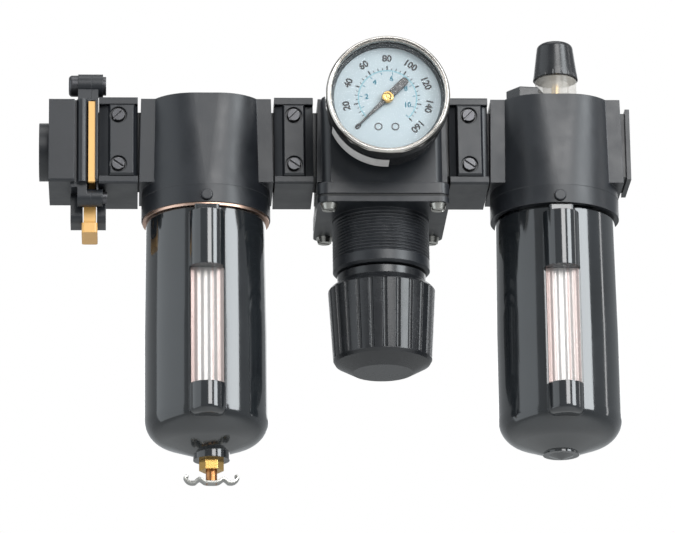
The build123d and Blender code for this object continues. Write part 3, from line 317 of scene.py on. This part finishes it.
def knob_plastic(settings):
    return surface("knob_plastic", (0.009, 0.0095, 0.011), (0.016, 0.017, 0.019), (0.2, 0.32),
                   grain=1800.0, relief=0.02, strength=0.25, worn=(0.06, 0.06, 0.065), wear=0.5, edge=0.45)


def gauge_enamel(settings):
    return surface("gauge_enamel", (0.006, 0.006, 0.007), (0.012, 0.012, 0.013), (0.16, 0.3),
                   grain=1100.0, relief=0.02, strength=0.2, worn=(0.08, 0.08, 0.08), wear=0.3, edge=0.4)


def dial_white(settings):
    return surface("dial_white", (0.36, 0.43, 0.465), (0.42, 0.49, 0.515), (0.4, 0.5), grain=2400.0,
                   relief=0.01, strength=0.15, edge=0.1)


def dial_ink(settings):
    return surface("dial_ink", (0.012, 0.012, 0.015), (0.03, 0.03, 0.034), (0.4, 0.55), grain=2400.0,
                   relief=0.005, strength=0.15, edge=0.02)


def dial_teal(settings):
    return surface("dial_teal", (0.01, 0.12, 0.18), (0.02, 0.16, 0.22), (0.4, 0.55), grain=2400.0,
                   relief=0.005, strength=0.15, edge=0.02)


def dial_pale_teal(settings):
    return surface("dial_pale_teal", (0.16, 0.36, 0.42), (0.2, 0.4, 0.46), (0.4, 0.55), grain=2400.0,
                   relief=0.005, strength=0.15, edge=0.02)


def label_paper(settings):
    return surface("label_paper", (0.66, 0.64, 0.62), (0.46, 0.44, 0.43), (0.4, 0.6), grain=2600.0,
                   relief=0.02, strength=0.3, worn=(0.3, 0.3, 0.3), wear=0.3, edge=0.1)


def seal_rubber(settings):
    return surface("seal_rubber", (0.01, 0.01, 0.01), (0.02, 0.02, 0.02), (0.5, 0.7), grain=1800.0,
                   relief=0.03, strength=0.4, edge=0.2)


def filter_media(settings):
    return surface("filter_media", (0.62, 0.58, 0.5), (0.42, 0.39, 0.33), (0.7, 0.9), grain=3200.0,
                   relief=0.12, strength=0.8, edge=0.3)


def clear_plastic(settings):
    return clear("clear_plastic", (0.3, 0.33, 0.34), (0.03, 0.08), 0.035)


def amber_plastic(settings):
    return clear("amber_plastic", (0.62, 0.58, 0.52), (0.08, 0.2), 0.34)


def mirror_strip(settings):
    """The bright sheet behind a sight window: polished metal with painted highlight and shade in stripes
    across it, silver where a highlight falls and darker rose for the shade between.
    """
    material = surface("mirror_strip", (0.52, 0.5, 0.49), (0.44, 0.41, 0.39), (0.22, 0.36), metallic=0.4,
                       grain=900.0, stretch=(8.0, 8.0, 0.4), relief=0.03, strength=0.3,
                       worn=(0.98, 0.97, 0.95), wear=0.3, edge=0.15)
    wires = Wires(material.node_tree)
    shader = material.node_tree.nodes["Principled BSDF"]
    before = shader.inputs["Base Color"].links[0].from_socket
    place = wires.add("ShaderNodeTexCoord")
    across = wires.add("ShaderNodeSeparateXYZ")
    wires.join(place.outputs["Generated"], across.inputs["Vector"])
    # Painted highlight and shade: stripes across the sheet, silver where a highlight falls, darker rose for
    # the shade between and one dark rose line.
    painted_light_bands = wires.add("ShaderNodeValToRGB")
    shaded_edge_to_highlight = ((0.0, 0.9), (0.14, 0.62), (0.3, 0.12), (0.5, 0.0))
    shaded_line_and_side = ((0.62, 0.15), (0.67, 0.8), (0.72, 0.1), (0.86, 0.6))
    painted_light_bands.color_ramp.elements.remove(painted_light_bands.color_ramp.elements[1])
    for index, (where, rosy) in enumerate(shaded_edge_to_highlight + shaded_line_and_side):
        stop = painted_light_bands.color_ramp.elements[0] if index == 0 else painted_light_bands.color_ramp.elements.new(where)
        stop.position = where
        stop.color = (rosy, rosy, rosy, 1.0)
    wires.join(across.outputs["X"], painted_light_bands.inputs["Fac"])
    # The dark rose that the painted shade stripes blend towards.
    wires.join(wires.blend(painted_light_bands.outputs["Color"], before, (0.3, 0.2, 0.18)), shader.inputs["Base Color"])
    return material


FINISH_OF_SLOT = {
    "body_paint": charcoal_paint,
    "bowl_enamel": bowl_gloss,
    "zinc_plate": zinc_plating,
    "black_steel": black_steel,
    "chrome": chrome_plating,
    "brass": yellow_brass,
    "copper": old_copper,
    "yellow_plastic": slide_yellow,
    "black_plastic": knob_plastic,
    "gauge_black": gauge_enamel,
    "dial_face": dial_white,
    "silver_strip": mirror_strip,
    "clear_plastic": clear_plastic,
    "amber_dome": amber_plastic,
    "seal_rubber": seal_rubber,
    "filter_media": filter_media,
}
made_finishes = {}


def finish(recipe):
    """The material of one recipe, made once."""
    if recipe.__name__ not in made_finishes:
        made_finishes[recipe.__name__] = recipe(bpy.context.scene.unit_finishes)
    return made_finishes[recipe.__name__]


def dress(*slots):
    """Gives every CAD node of these slots its finish."""
    dressed = [node for node, slot in SLOT_OF_NODE.items() if slot in slots]
    if not dressed:
        raise RuntimeError(f"no CAD node has a slot in {slots}")
    for node in dressed:
        paint_node(node, FINISH_OF_SLOT[SLOT_OF_NODE[node]])


def paint_node(node, recipe):
    slots = frame["nodes"][node].material_slots
    if not slots:
        raise RuntimeError(f"{node} has no material slot")
    for slot in slots:
        slot.material = finish(recipe)


# --- mesh building -----------------------------------------------------------------------------


def new_piece(name, build, recipe, body, replaces=()):
    """Turns a bmesh into a piece that rides on a body and has one finish."""
    bmesh.ops.recalc_face_normals(build, faces=build.faces)
    mesh = bpy.data.meshes.new(name)
    build.to_mesh(mesh)
    build.free()
    mesh.materials.append(finish(recipe))
    piece = bpy.data.objects.new(name, mesh)
    bpy.context.scene.collection.objects.link(piece)
    mesh.shade_smooth()
    mesh.set_sharp_from_angle(angle=math.radians(35))
    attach(piece, body)
    if replaces:
        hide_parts(*replaces)
    return piece


def turned(profile, place, steps=TURN_STEPS, ring=False):
    """A bmesh of a profile of (radius, height) turned about the place's own Z, and joined up for a ring."""
    build = bmesh.new()
    rings = []
    for radius, height in profile:
        if radius < 1e-7:
            rings.append([build.verts.new((0, 0, height))])
            continue
        corners = [2 * math.pi * step / steps for step in range(steps)]
        rings.append([build.verts.new((radius * math.cos(a), radius * math.sin(a), height)) for a in corners])
    above = rings[1:] + rings[:1] if ring else rings[1:]
    for low, high in zip(rings, above):
        for step in range(steps):
            after = (step + 1) % steps
            if len(low) == 1:
                build.faces.new((low[0], high[step], high[after]))
            elif len(high) == 1:
                build.faces.new((low[step], high[0], low[after]))
            else:
                build.faces.new((low[step], low[after], high[after], high[step]))
    build.transform(place)
    return build


def facing_front(x, y, z):
    """A place whose local x is +X, local y is +Z and local z comes out towards -Y."""
    return Matrix(((1, 0, 0, x), (0, 0, -1, y), (0, 1, 0, z), (0, 0, 0, 1)))


def add_prism(build, outline, low, high, place):
    """Adds a straight prism over a flat outline of (x, y) points."""
    floor = [build.verts.new(place @ Vector((x, y, low))) for x, y in outline]
    roof = [build.verts.new(place @ Vector((x, y, high))) for x, y in outline]
    build.faces.new(list(reversed(floor)))
    build.faces.new(roof)
    for index in range(len(outline)):
        after = (index + 1) % len(outline)
        build.faces.new((floor[index], floor[after], roof[after], roof[index]))


def soften(piece, width, segments=2):
    """Rounds the sharp corners of a piece."""
    modifier = piece.modifiers.new("rounded_corners", "BEVEL")
    modifier.width = width
    modifier.segments = segments
    modifier.limit_method = "ANGLE"
    modifier.angle_limit = math.radians(32)
    return modifier


# --- gauge -------------------------------------------------------------------------------------


def dial_centre():
    low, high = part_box("gauge_dial")
    return (low.x + high.x) / 2, low.y, (low.z + high.z) / 2


def add_lettering(build, text, height, thickness, place):
    """Adds raised digits or letters, centred on the place."""
    digit_share = 0.7
    curve = bpy.data.curves.new("lettering", "FONT")
    curve.body = text
    curve.size = height / digit_share
    curve.offset = 0.042 * curve.size
    curve.extrude = thickness / 2
    curve.resolution_u = 6
    curve.align_x = "CENTER"
    curve.align_y = "CENTER"
    helper = bpy.data.objects.new("lettering", curve)
    bpy.context.scene.collection.objects.link(helper)
    bpy.context.view_layer.update()
    mesh = bpy.data.meshes.new_from_object(helper.evaluated_get(bpy.context.evaluated_depsgraph_get()))
    mesh.transform(place)
    build.from_mesh(mesh)
    bpy.data.objects.remove(helper)
    bpy.data.curves.remove(curve)
    bpy.data.meshes.remove(mesh)


def add_tick(build, angle, inner, outer, width, thickness, place):
    """Adds one mark along a radius of the dial."""
    outline = [(inner, -width / 2), (outer, -width / 2), (outer, width / 2), (inner, width / 2)]
    add_prism(build, outline, 0, thickness, place @ Matrix.Rotation(angle, 4, "Z"))


def add_arc_band(build, start, end, inner, outer, thickness, place, steps=72):
    """Adds a flat curved band between two angles."""
    angles = [start + (end - start) * step / steps for step in range(steps + 1)]
    outline = [(outer * math.cos(a), outer * math.sin(a)) for a in angles]
    outline += [(inner * math.cos(a), inner * math.sin(a)) for a in reversed(angles)]
    floor = [build.verts.new(place @ Vector((x, y, 0))) for x, y in outline]
    roof = [build.verts.new(place @ Vector((x, y, thickness))) for x, y in outline]
    count = len(outline)
    for index in range(steps):
        far = count - 1 - index
        build.faces.new((roof[index], roof[index + 1], roof[far - 1], roof[far]))
        build.faces.new((floor[index + 1], floor[index], floor[far], floor[far - 1]))
    for index in range(count):
        after = (index + 1) % count
        build.faces.new((floor[index], floor[after], roof[after], roof[index]))


def at_angle(radius, angle):
    """A shift of one radius along an angle of the dial."""
    return Matrix.Translation((radius * math.cos(angle), radius * math.sin(angle), 0))


def scale_angle(share):
    """The angle of a share of the scale, from the low end at lower left round clockwise."""
    low_end = math.radians(225)
    sweep = math.radians(270)
    return low_end - sweep * share


class PressureGauge(bpy.types.Operator):
    """Prints the dial, adds its screws, hub and label, and finishes the case and bezel"""

    bl_idname = "unit.pressure_gauge"
    bl_label = "Pressure gauge"

    def execute(self, context):
        settings = context.scene.unit_gauge
        dress("gauge_black", "dial_face", "chrome")
        x, front, z = dial_centre()
        place = facing_front(x, front - 0.02 * MM, z)
        self.bezel()
        self.liner()
        self.pointer(place)
        self.outer_scale(settings, place)
        self.inner_scale(settings, place)
        self.dial_screws(place)
        self.hub(x, z)
        self.label(settings)
        return {"FINISHED"}

    def bezel(self):
        """The rolled chrome ring: a full outer bead, a fine groove and an inner lip."""
        low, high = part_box("gauge_bezel")
        x, z = (low.x + high.x) / 2, (low.z + high.z) / 2
        outer = (high.x - low.x) / 2
        deep = high.y - low.y
        sleeve, lip, step = outer - 1.45 * MM, outer - 2.58 * MM, deep / 2
        profile = [
            (sleeve, 0), (outer - 0.1 * MM, 0), (outer, 0.3 * MM), (outer, deep - 2.2 * MM),
            (outer - 0.1 * MM, deep - 1.3 * MM), (outer - 0.4 * MM, deep - 0.6 * MM),
            (outer - 0.8 * MM, deep - 0.15 * MM), (outer - 1.15 * MM, deep),
            (outer - 1.45 * MM, deep - 0.15 * MM), (outer - 1.6 * MM, deep - 0.7 * MM),
            (outer - 1.75 * MM, deep - 0.95 * MM),
            (outer - 1.95 * MM, deep - 0.75 * MM), (outer - 2.2 * MM, deep - 0.7 * MM),
            (outer - 2.45 * MM, deep - 0.95 * MM), (lip, deep - 1.6 * MM), (lip, step + 0.05 * MM),
            (sleeve, step + 0.05 * MM),
        ]
        rolled = turned(profile, facing_front(x, high.y, z), 160, ring=True)
        new_piece("gauge_bezel_rolled", rolled, chrome_plating, "housing", ["gauge_bezel"])

    def liner(self):
        """The black sloping ring between the dial and the lens: partly the case's black inner wall and partly
        painted shade, its slope covering the dial's rim where the bezel's shade falls.
        """
        x, front, z = dial_centre()
        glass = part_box("gauge_lens")[1].y
        reach = front - glass - 0.1 * MM
        edge = (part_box("gauge_lens")[1].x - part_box("gauge_lens")[0].x) / 2
        profile = [(edge - 0.05 * MM, 0), (edge - 0.05 * MM, reach), (edge - 0.35 * MM, reach),
                   (edge - 1.1 * MM, 0.25 * MM), (edge - 1.2 * MM, 0)]
        ring = turned(profile, facing_front(x, front - 0.05 * MM, z), 160, ring=True)
        # Painted shade: black over the dial's rim where the bezel's shade falls, besides the case's black
        # inner wall.
        new_piece("gauge_shade_liner", ring, gauge_enamel, "housing")

    def pointer(self, place):
        """A long fine point and a broad rounded tail on one round hub."""
        low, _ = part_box("gauge_pointer")
        x, _, z = dial_centre()
        tip = math.hypot(x - low.x, z - low.z) - 0.4 * MM
        tail, wide, fine = 12.3 * MM, 1.75 * MM, 0.3 * MM
        outline = [(tip, 0), (tip - 1.2 * MM, -fine), (3 * MM, -1.0 * MM), (0, -wide)]
        for step in range(9):
            turn = math.pi / 2 * (1 - step / 4)
            outline.append((-tail + wide - wide * math.cos(turn), -wide * math.sin(turn)))
        outline += [(0, wide), (3 * MM, 1.0 * MM), (tip - 1.2 * MM, fine)]
        blade = bmesh.new()
        turn = Matrix.Rotation(scale_angle(0), 4, "Z")
        add_prism(blade, outline, 0.7 * MM, 1.35 * MM, place @ turn)
        piece = new_piece("pointer_blade", blade, gauge_enamel, "pointer", ["gauge_pointer"])
        soften(piece, 0.12 * MM)

    def outer_scale(self, settings, place):
        ink = bmesh.new()
        divisions = settings.outer_top // settings.outer_step
        for mark in range(divisions * 4 + 1):
            share = mark / (divisions * 4)
            long_mark = mark % 4 == 0
            half_mark = mark % 2 == 0
            outer = settings.tick_r + (1.9 * MM if long_mark else 1.2 * MM if half_mark else 0.9 * MM)
            width = 0.62 * MM if long_mark else 0.36 * MM
            add_tick(ink, scale_angle(share), settings.tick_r, outer, width, settings.ink, place)
        for number in range(0, settings.outer_top + 1, settings.outer_step):
            angle = scale_angle(number / settings.outer_top)
            spot = at_angle(settings.number_r, angle)
            turn = Matrix.Rotation(angle - math.pi / 2, 4, "Z")
            add_lettering(ink, str(number), settings.number_height, settings.ink, place @ spot @ turn)
        new_piece("gauge_scale", ink, dial_ink, "housing")

    def inner_scale(self, settings, place):
        band = bmesh.new()
        band_outer = settings.tick_r - 0.1 * MM
        band_inner = band_outer - 0.5 * MM
        add_arc_band(band, scale_angle(0), scale_angle(1), band_inner, band_outer, settings.ink, place)
        new_piece("gauge_inner_band", band, dial_pale_teal, "housing")
        ink = bmesh.new()
        inner_full = settings.inner_top * settings.inner_share
        for mark in range(settings.inner_top + 1):
            share = mark / inner_full
            if share > 1:
                continue
            add_tick(ink, scale_angle(share), settings.tick_r - 2.1 * MM, settings.tick_r - 0.9 * MM,
                     0.35 * MM, settings.ink, place)
            if mark % 2 or not mark:
                continue
            spot = at_angle(settings.tick_r - 3.9 * MM, scale_angle(share))
            add_lettering(ink, str(mark), 2.2 * MM, settings.ink, place @ spot)
        new_piece("gauge_inner_scale", ink, dial_teal, "housing")

    def dial_screws(self, place):
        for side, name in ((-1, "left"), (1, "right")):
            profile = [(1.25 * MM, 0), (1.25 * MM, 0.16 * MM), (1.4 * MM, 0.26 * MM), (1.6 * MM, 0.26 * MM),
                       (1.75 * MM, 0.16 * MM), (1.75 * MM, 0)]
            spot = Matrix.Translation((side * 3.7 * MM - 0.4 * MM, -13.1 * MM, 0.04 * MM))
            ring = turned(profile, place @ spot, 48, ring=True)
            new_piece(f"dial_rivet_{name}", ring, black_steel, "housing")

    def hub(self, x, z):
        low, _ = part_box("gauge_pointer")
        profile = [(0, 0.95 * MM), (0.55 * MM, 0.95 * MM), (0.8 * MM, 0.55 * MM), (1.2 * MM, 0.55 * MM),
                   (1.9 * MM, 0.8 * MM), (2.5 * MM, 0.45 * MM), (2.65 * MM, -0.5 * MM),
                   (2.65 * MM, -0.9 * MM)]
        cap = turned(profile, facing_front(x, low.y, z), 64)
        new_piece("pointer_hub", cap, yellow_brass, "pointer")

    def label(self, settings):
        low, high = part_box("gauge_case")
        x, z = (low.x + high.x) / 2, (low.z + high.z) / 2
        skin = (high.x - low.x) / 2
        back = high.y - 1.0 * MM
        start, end = settings.label_start, settings.label_end
        steps = 40
        build = bmesh.new()
        rows = []
        for radius in (skin + 0.02 * MM, skin + 0.16 * MM):
            for along in (back, back - settings.label_width):
                angles = [start + (end - start) * step / steps for step in range(steps + 1)]
                rows.append([build.verts.new((x + radius * math.cos(a), along, z + radius * math.sin(a)))
                             for a in angles])
        under_back, under_front, over_back, over_front = rows
        for first, second in ((over_back, over_front), (over_front, under_front),
                              (under_front, under_back), (under_back, over_back)):
            for step in range(steps):
                build.faces.new((first[step], first[step + 1], second[step + 1], second[step]))
        for end_of in (0, steps):
            build.faces.new([row[end_of] for row in (over_back, over_front, under_front, under_back)])
        new_piece("gauge_label", build, label_paper, "housing")


# --- sight strips ------------------------------------------------------------------------------


class SightWindows(bpy.types.Operator):
    """Puts a finely fluted bright sheet behind each sight window and clears the windows"""

    bl_idname = "unit.sight_windows"
    bl_label = "Sight windows"

    def execute(self, context):
        settings = context.scene.unit_windows
        dress("clear_plastic")
        for module in ("filter", "lubricator"):
            node = f"{module}_sight_reflector"
            low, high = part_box(node)
            self.fluted_sheet(f"{module}_sight_sheet", low, high, settings, f"{module}_bowl_unit", node)
        return {"FINISHED"}

    def fluted_sheet(self, name, low, high, settings, body, node):
        width = high.x - low.x
        steps = settings.flutes * 8
        outline = []
        for step in range(steps + 1):
            share = step / steps
            wave = 0.5 - 0.5 * math.cos(2 * math.pi * settings.flutes * share)
            outline.append((low.x + width * share, low.y + settings.flute_depth * wave))
        outline += [(high.x, high.y), (low.x, high.y)]
        build = bmesh.new()
        floor = [build.verts.new((x, y, low.z)) for x, y in outline]
        roof = [build.verts.new((x, y, high.z)) for x, y in outline]
        build.faces.new(list(reversed(floor)))
        build.faces.new(roof)
        for index in range(len(outline)):
            after = (index + 1) % len(outline)
            build.faces.new((floor[index], floor[after], roof[after], roof[index]))
        new_piece(name, build, mirror_strip, body, [node])


# --- drain -------------------------------------------------------------------------------------


class Drain(bpy.types.Operator):
    """Bends the drain's curled wing from sheet and finishes its nut and stem"""

    bl_idname = "unit.drain"
    bl_label = "Drain"

    def execute(self, context):
        settings = context.scene.unit_drain
        paint_node("drain_stem", stem_bronze)
        paint_node("drain_nut", yellow_brass)
        self.wing(settings)
        return {"FINISHED"}

    def wing(self, settings):
        """A strip that dips, rises and curls at each end, thick as pressed sheet.

        The line gives half of it, as shares of the half width and of the curl's height.
        """
        low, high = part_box("drain_wing")
        x, y = (low.x + high.x) / 2, (low.y + high.y) / 2
        half = (high.x - low.x) / 2
        floor = low.z
        rise = settings.curl
        gauge = settings.sheet
        line = [(0, 0.05), (0.2, 0.05), (0.3, 0.2), (0.38, 0.5), (0.46, 0.62), (0.54, 0.4),
                (0.62, 0.08), (0.74, 0.0), (0.86, 0.14), (0.95, 0.45), (1.0, 0.8), (0.94, 1.0), (0.87, 0.86)]
        bend = rise - 2 * gauge
        right_side = [Vector((x + half * across, 0, floor + gauge + bend * up)) for across, up in line]
        left_side = [Vector((2 * x - point.x, 0, point.z)) for point in right_side]
        path = list(reversed(left_side[1:])) + right_side
        end_depth = 0.72
        bulge = 1 - end_depth
        last = len(path) - 1
        depth_shares = [end_depth + bulge * math.sin(math.pi * index / last) for index in range(len(path))]
        build = bmesh.new()
        rows = []
        for index, point in enumerate(path):
            before = path[max(index - 1, 0)]
            after = path[min(index + 1, len(path) - 1)]
            along = (after - before).normalized()
            out = Vector((-along.z, 0, along.x)) * gauge / 2
            deep = (high.y - low.y) / 2 * depth_shares[index]
            rows.append([build.verts.new((point.x + out.x * up, y + deep * side, point.z + out.z * up))
                         for up, side in ((1, -1), (1, 1), (-1, 1), (-1, -1))])
        for first, second in zip(rows, rows[1:]):
            for side in range(4):
                after = (side + 1) % 4
                build.faces.new((first[side], first[after], second[after], second[side]))
        build.faces.new(rows[0])
        build.faces.new(list(reversed(rows[-1])))
        piece = new_piece(
            "drain_wing_curled", build, zinc_plating, "drain_valve", ["drain_wing"]
        )
        soften(piece, 0.18 * MM, 1)
        smooth = piece.modifiers.new("smooth_bends", "SUBSURF")
        smooth.levels = 2
        smooth.render_levels = 2


# --- plain finishes ----------------------------------------------------------------------------


class Castings(bpy.types.Operator):
    """Paints the valve, the three bodies, the bonnet and the clamps"""

    bl_idname = "unit.castings"
    bl_label = "Painted castings"

    def execute(self, context):
        dress("body_paint")
        return {"FINISHED"}


class Bowls(bpy.types.Operator):
    """Enamels the two bowls and finishes the ring between the filter's head and bowl"""

    bl_idname = "unit.bowls"
    bl_label = "Bowls"

    def execute(self, context):
        dress("bowl_enamel", "copper")
        return {"FINISHED"}


class Fasteners(bpy.types.Operator):
    """Plates or blackens the screws, bolts, springs and stems"""

    bl_idname = "unit.fasteners"
    bl_label = "Fasteners and springs"

    def execute(self, context):
        dress("zinc_plate", "black_steel", "brass")
        return {"FINISHED"}


class Mouldings(bpy.types.Operator):
    """Finishes the knobs, the yellow slide, the drip dome, the seals and the filter element"""

    bl_idname = "unit.mouldings"
    bl_label = "Mouldings and seals"

    def execute(self, context):
        dress("black_plastic", "yellow_plastic", "amber_dome", "seal_rubber", "filter_media")
        return {"FINISHED"}


# --- stage -------------------------------------------------------------------------------------


def direction(azimuth, elevation):
    """The unit vector from the unit towards an azimuth right of -Y and an elevation above level."""
    level = math.cos(elevation)
    return Vector((math.sin(azimuth) * level, -math.cos(azimuth) * level, math.sin(elevation)))


def softbox(name, azimuth, elevation, distance, width, height, radiance, colour=(1.0, 1.0, 1.0)):
    """A rectangular lamp of a given brightness that faces the unit."""
    centre = (CAD_BOX[0] + CAD_BOX[1]) / 2
    lamp = bpy.data.lights.new(name, "AREA")
    lamp.shape = "RECTANGLE"
    lamp.size = width
    lamp.size_y = height
    lamp.energy = radiance * math.pi * width * height
    lamp.color = colour
    holder = bpy.data.objects.new(name, lamp)
    holder.location = centre + distance * direction(math.radians(azimuth), math.radians(elevation))
    holder.rotation_euler = (centre - holder.location).to_track_quat("-Z", "Y").to_euler()
    holder.visible_camera = False
    bpy.context.scene.collection.objects.link(holder)
    return holder


class Stage(bpy.types.Operator):
    """Lays the pale floor and sets the sky, the softboxes and the camera"""

    bl_idname = "unit.stage"
    bl_label = "Stage"

    def execute(self, context):
        settings = context.scene.unit_stage
        self.floor(settings)
        self.sky(context, settings)
        self.lamps()
        self.camera(context, settings)
        context.scene.view_settings.view_transform = "Standard"
        return {"FINISHED"}

    def floor(self, settings):
        reach = 6.0
        build = bmesh.new()
        corners = [(-reach, -reach), (reach, -reach), (reach, reach), (-reach, reach)]
        build.faces.new([build.verts.new((x, y, settings.floor)) for x, y in corners])
        mesh = bpy.data.meshes.new("floor")
        build.to_mesh(mesh)
        build.free()
        mesh.materials.append(surface("floor_pale", (0.86, 0.86, 0.85), (0.82, 0.82, 0.81), (0.6, 0.8),
                                      grain=60.0, relief=0.2, strength=0.1))
        piece = bpy.data.objects.new("floor", mesh)
        bpy.context.scene.collection.objects.link(piece)

    def sky(self, context, settings):
        """White where the camera looks straight at it, and softer where it lights the unit."""
        world = bpy.data.worlds.new("studio")
        context.scene.world = world
        world.use_nodes = True
        wires = Wires(world.node_tree)
        lit = world.node_tree.nodes["Background"]
        lit.inputs["Color"].default_value = (*settings.sky, 1.0)
        lit.inputs["Strength"].default_value = settings.sky_strength
        seen = wires.add("ShaderNodeBackground")
        seen.inputs["Color"].default_value = (1.0, 1.0, 1.0, 1.0)
        seen.inputs["Strength"].default_value = 1.0
        path = wires.add("ShaderNodeLightPath")
        both = wires.add("ShaderNodeMixShader")
        wires.join(path.outputs["Is Camera Ray"], both.inputs["Fac"])
        wires.join(lit.outputs["Background"], both.inputs[1])
        wires.join(seen.outputs["Background"], both.inputs[2])
        wires.join(both.outputs["Shader"], world.node_tree.nodes["World Output"].inputs["Surface"])

    def lamps(self):
        softbox("key", azimuth=14, elevation=26, distance=2.4, width=0.95, height=1.3, radiance=8.0)
        softbox("side_strip", azimuth=50, elevation=18, distance=2.2, width=0.85,
                height=1.9, radiance=8.5, colour=(0.92, 0.97, 1.0))
        softbox("left_fill", azimuth=-75, elevation=8, distance=2.2, width=2.6,
                height=2.8, radiance=1.1, colour=(0.88, 0.95, 1.0))
        softbox("rim", azimuth=92, elevation=14, distance=2.0, width=0.12, height=1.6, radiance=4.0)
        softbox("overhead", azimuth=0, elevation=78, distance=2.0, width=1.8, height=1.2, radiance=2.0)
        softbox("back", azimuth=170, elevation=30, distance=2.4, width=2.2, height=1.6, radiance=1.4)

    def camera(self, context, settings):
        data = bpy.data.cameras.new("camera")
        data.lens = settings.lens
        data.clip_start = 0.05
        data.clip_end = 50.0
        camera = bpy.data.objects.new("camera", data)
        context.scene.collection.objects.link(camera)
        back = direction(settings.azimuth, settings.elevation)
        camera.location = Vector(settings.target) + settings.distance * back
        camera.rotation_mode = "QUATERNION"
        roll = Matrix.Rotation(settings.roll, 4, "Z").to_quaternion()
        camera.rotation_quaternion = (-back).to_track_quat("-Z", "Y") @ roll
        context.scene.camera = camera


# --- settings ----------------------------------------------------------------------------------


class FinishSettings(bpy.types.PropertyGroup):
    """Colours of the painted and moulded parts."""

    paint: FloatVectorProperty(name="Paint", description="Colour of the painted castings",
                               default=(0.0085, 0.0098, 0.0122), subtype="COLOR", size=3, min=0, max=1)
    enamel: FloatVectorProperty(name="Enamel", description="Colour of the glossy bowls",
                                default=(0.009, 0.0105, 0.012), subtype="COLOR", size=3, min=0, max=1)
    slide: FloatVectorProperty(name="Slide", description="Colour of the shut-off slide",
                               default=(0.74, 0.42, 0.13), subtype="COLOR", size=3, min=0, max=1)


class GaugeSettings(bpy.types.PropertyGroup):
    """Sizes of the dial's print and of the label on the case."""

    outer_top: IntProperty(name="Outer full scale", description="Last number of the outer scale",
                           default=160, min=20, max=400)
    outer_step: IntProperty(name="Outer step", description="Difference of two outer numbers",
                            default=20, min=5, max=50)
    inner_top: IntProperty(name="Inner full scale", description="Last number of the inner scale",
                           default=11, min=2, max=40)
    inner_share: FloatProperty(name="Inner share", description="Outer full scale over the inner one's",
                               default=1.003, min=0.5, max=2.0)
    tick_r: FloatProperty(name="Tick radius", description="Radius where the marks start",
                          default=13.1 * MM, unit="LENGTH", min=0)
    number_r: FloatProperty(name="Number radius", description="Radius of the outer numbers' middles",
                            default=18.3 * MM, unit="LENGTH", min=0)
    number_height: FloatProperty(name="Number height", description="Height of the outer numbers",
                                 default=2.9 * MM, unit="LENGTH", min=0)
    ink: FloatProperty(name="Ink", description="Thickness of the print",
                       default=0.05 * MM, unit="LENGTH", min=0)
    label_start: FloatProperty(name="Label start", description="Angle of the label's first end",
                               default=math.radians(203), subtype="ANGLE")
    label_end: FloatProperty(name="Label end", description="Angle of the label's last end",
                             default=math.radians(272), subtype="ANGLE")
    label_width: FloatProperty(name="Label width", description="Width of the label along the case",
                               default=8.6 * MM, unit="LENGTH", min=0)


class WindowSettings(bpy.types.PropertyGroup):
    """Shape of the bright sheets behind the sight windows."""

    flutes: IntProperty(name="Flutes", description="Number of flutes across a sheet",
                        default=5, min=1, max=40)
    flute_depth: FloatProperty(name="Flute depth", description="Depth of a flute",
                               default=0.2 * MM, unit="LENGTH", min=0)


class DrainSettings(bpy.types.PropertyGroup):
    """Shape of the drain's wing."""

    sheet: FloatProperty(name="Sheet", description="Thickness of the wing's sheet",
                         default=1.2 * MM, unit="LENGTH", min=0)
    curl: FloatProperty(name="Curl", description="Height that the wing's ends curl up to",
                        default=5.4 * MM, unit="LENGTH", min=0)


class StageSettings(bpy.types.PropertyGroup):
    """Camera, floor and sky."""

    target: FloatVectorProperty(name="Target", description="Point that the camera looks at",
                                default=(0.1321, 0.0, -0.0531), subtype="XYZ", unit="LENGTH", size=3)
    distance: FloatProperty(name="Distance", description="Camera's distance from its target",
                            default=2.0, unit="LENGTH", min=0.1)
    azimuth: FloatProperty(name="Azimuth", description="Camera's angle to the right of straight ahead",
                           default=math.radians(-2.75), subtype="ANGLE")
    elevation: FloatProperty(name="Elevation", description="Camera's angle above level",
                             default=math.radians(-17.5), subtype="ANGLE")
    roll: FloatProperty(name="Roll", description="Camera's turn about its own line of sight",
                        default=math.radians(-0.76), subtype="ANGLE")
    lens: FloatProperty(name="Lens", description="Focal length in millimetres", default=240.9, min=10)
    floor: FloatProperty(name="Floor", description="Height of the floor", default=-1.6, unit="LENGTH")
    sky: FloatVectorProperty(name="Sky", description="Colour of the light from all round",
                             default=(0.93, 0.97, 1.0), subtype="COLOR", size=3, min=0, max=1)
    sky_strength: FloatProperty(name="Sky strength", description="Brightness of the light from all round",
                                default=0.45, min=0)


# --- add-on ------------------------------------------------------------------------------------

SETTINGS = {
    "unit_finishes": FinishSettings,
    "unit_gauge": GaugeSettings,
    "unit_windows": WindowSettings,
    "unit_drain": DrainSettings,
    "unit_stage": StageSettings,
}
OPERATORS = (Castings, Bowls, Fasteners, Mouldings, PressureGauge, SightWindows, Drain, Stage)


class UnitPanel(bpy.types.Panel):
    """Lists the unit's settings and the steps that build its looks."""

    bl_idname = "VIEW3D_PT_air_unit"
    bl_label = "Air service unit"
    bl_space_type = "VIEW_3D"
    bl_region_type = "UI"
    bl_category = "Air unit"

    def draw(self, context):
        for name, group in SETTINGS.items():
            box = self.layout.box()
            for label in group.__annotations__:
                box.prop(getattr(context.scene, name), label)
        for operator in OPERATORS:
            self.layout.operator(operator.bl_idname)


def register():
    for name, group in SETTINGS.items():
        bpy.utils.register_class(group)
        setattr(bpy.types.Scene, name, PointerProperty(type=group))
    for operator in OPERATORS:
        bpy.utils.register_class(operator)
    bpy.utils.register_class(UnitPanel)


def unregister():
    bpy.utils.unregister_class(UnitPanel)
    for operator in reversed(OPERATORS):
        bpy.utils.unregister_class(operator)
    for name, group in reversed(SETTINGS.items()):
        delattr(bpy.types.Scene, name)
        bpy.utils.unregister_class(group)


def main():
    register()
    for operator in OPERATORS:
        section, name = operator.bl_idname.split(".")
        getattr(getattr(bpy.ops, section), name)()


if __name__ == "__main__":
    main()
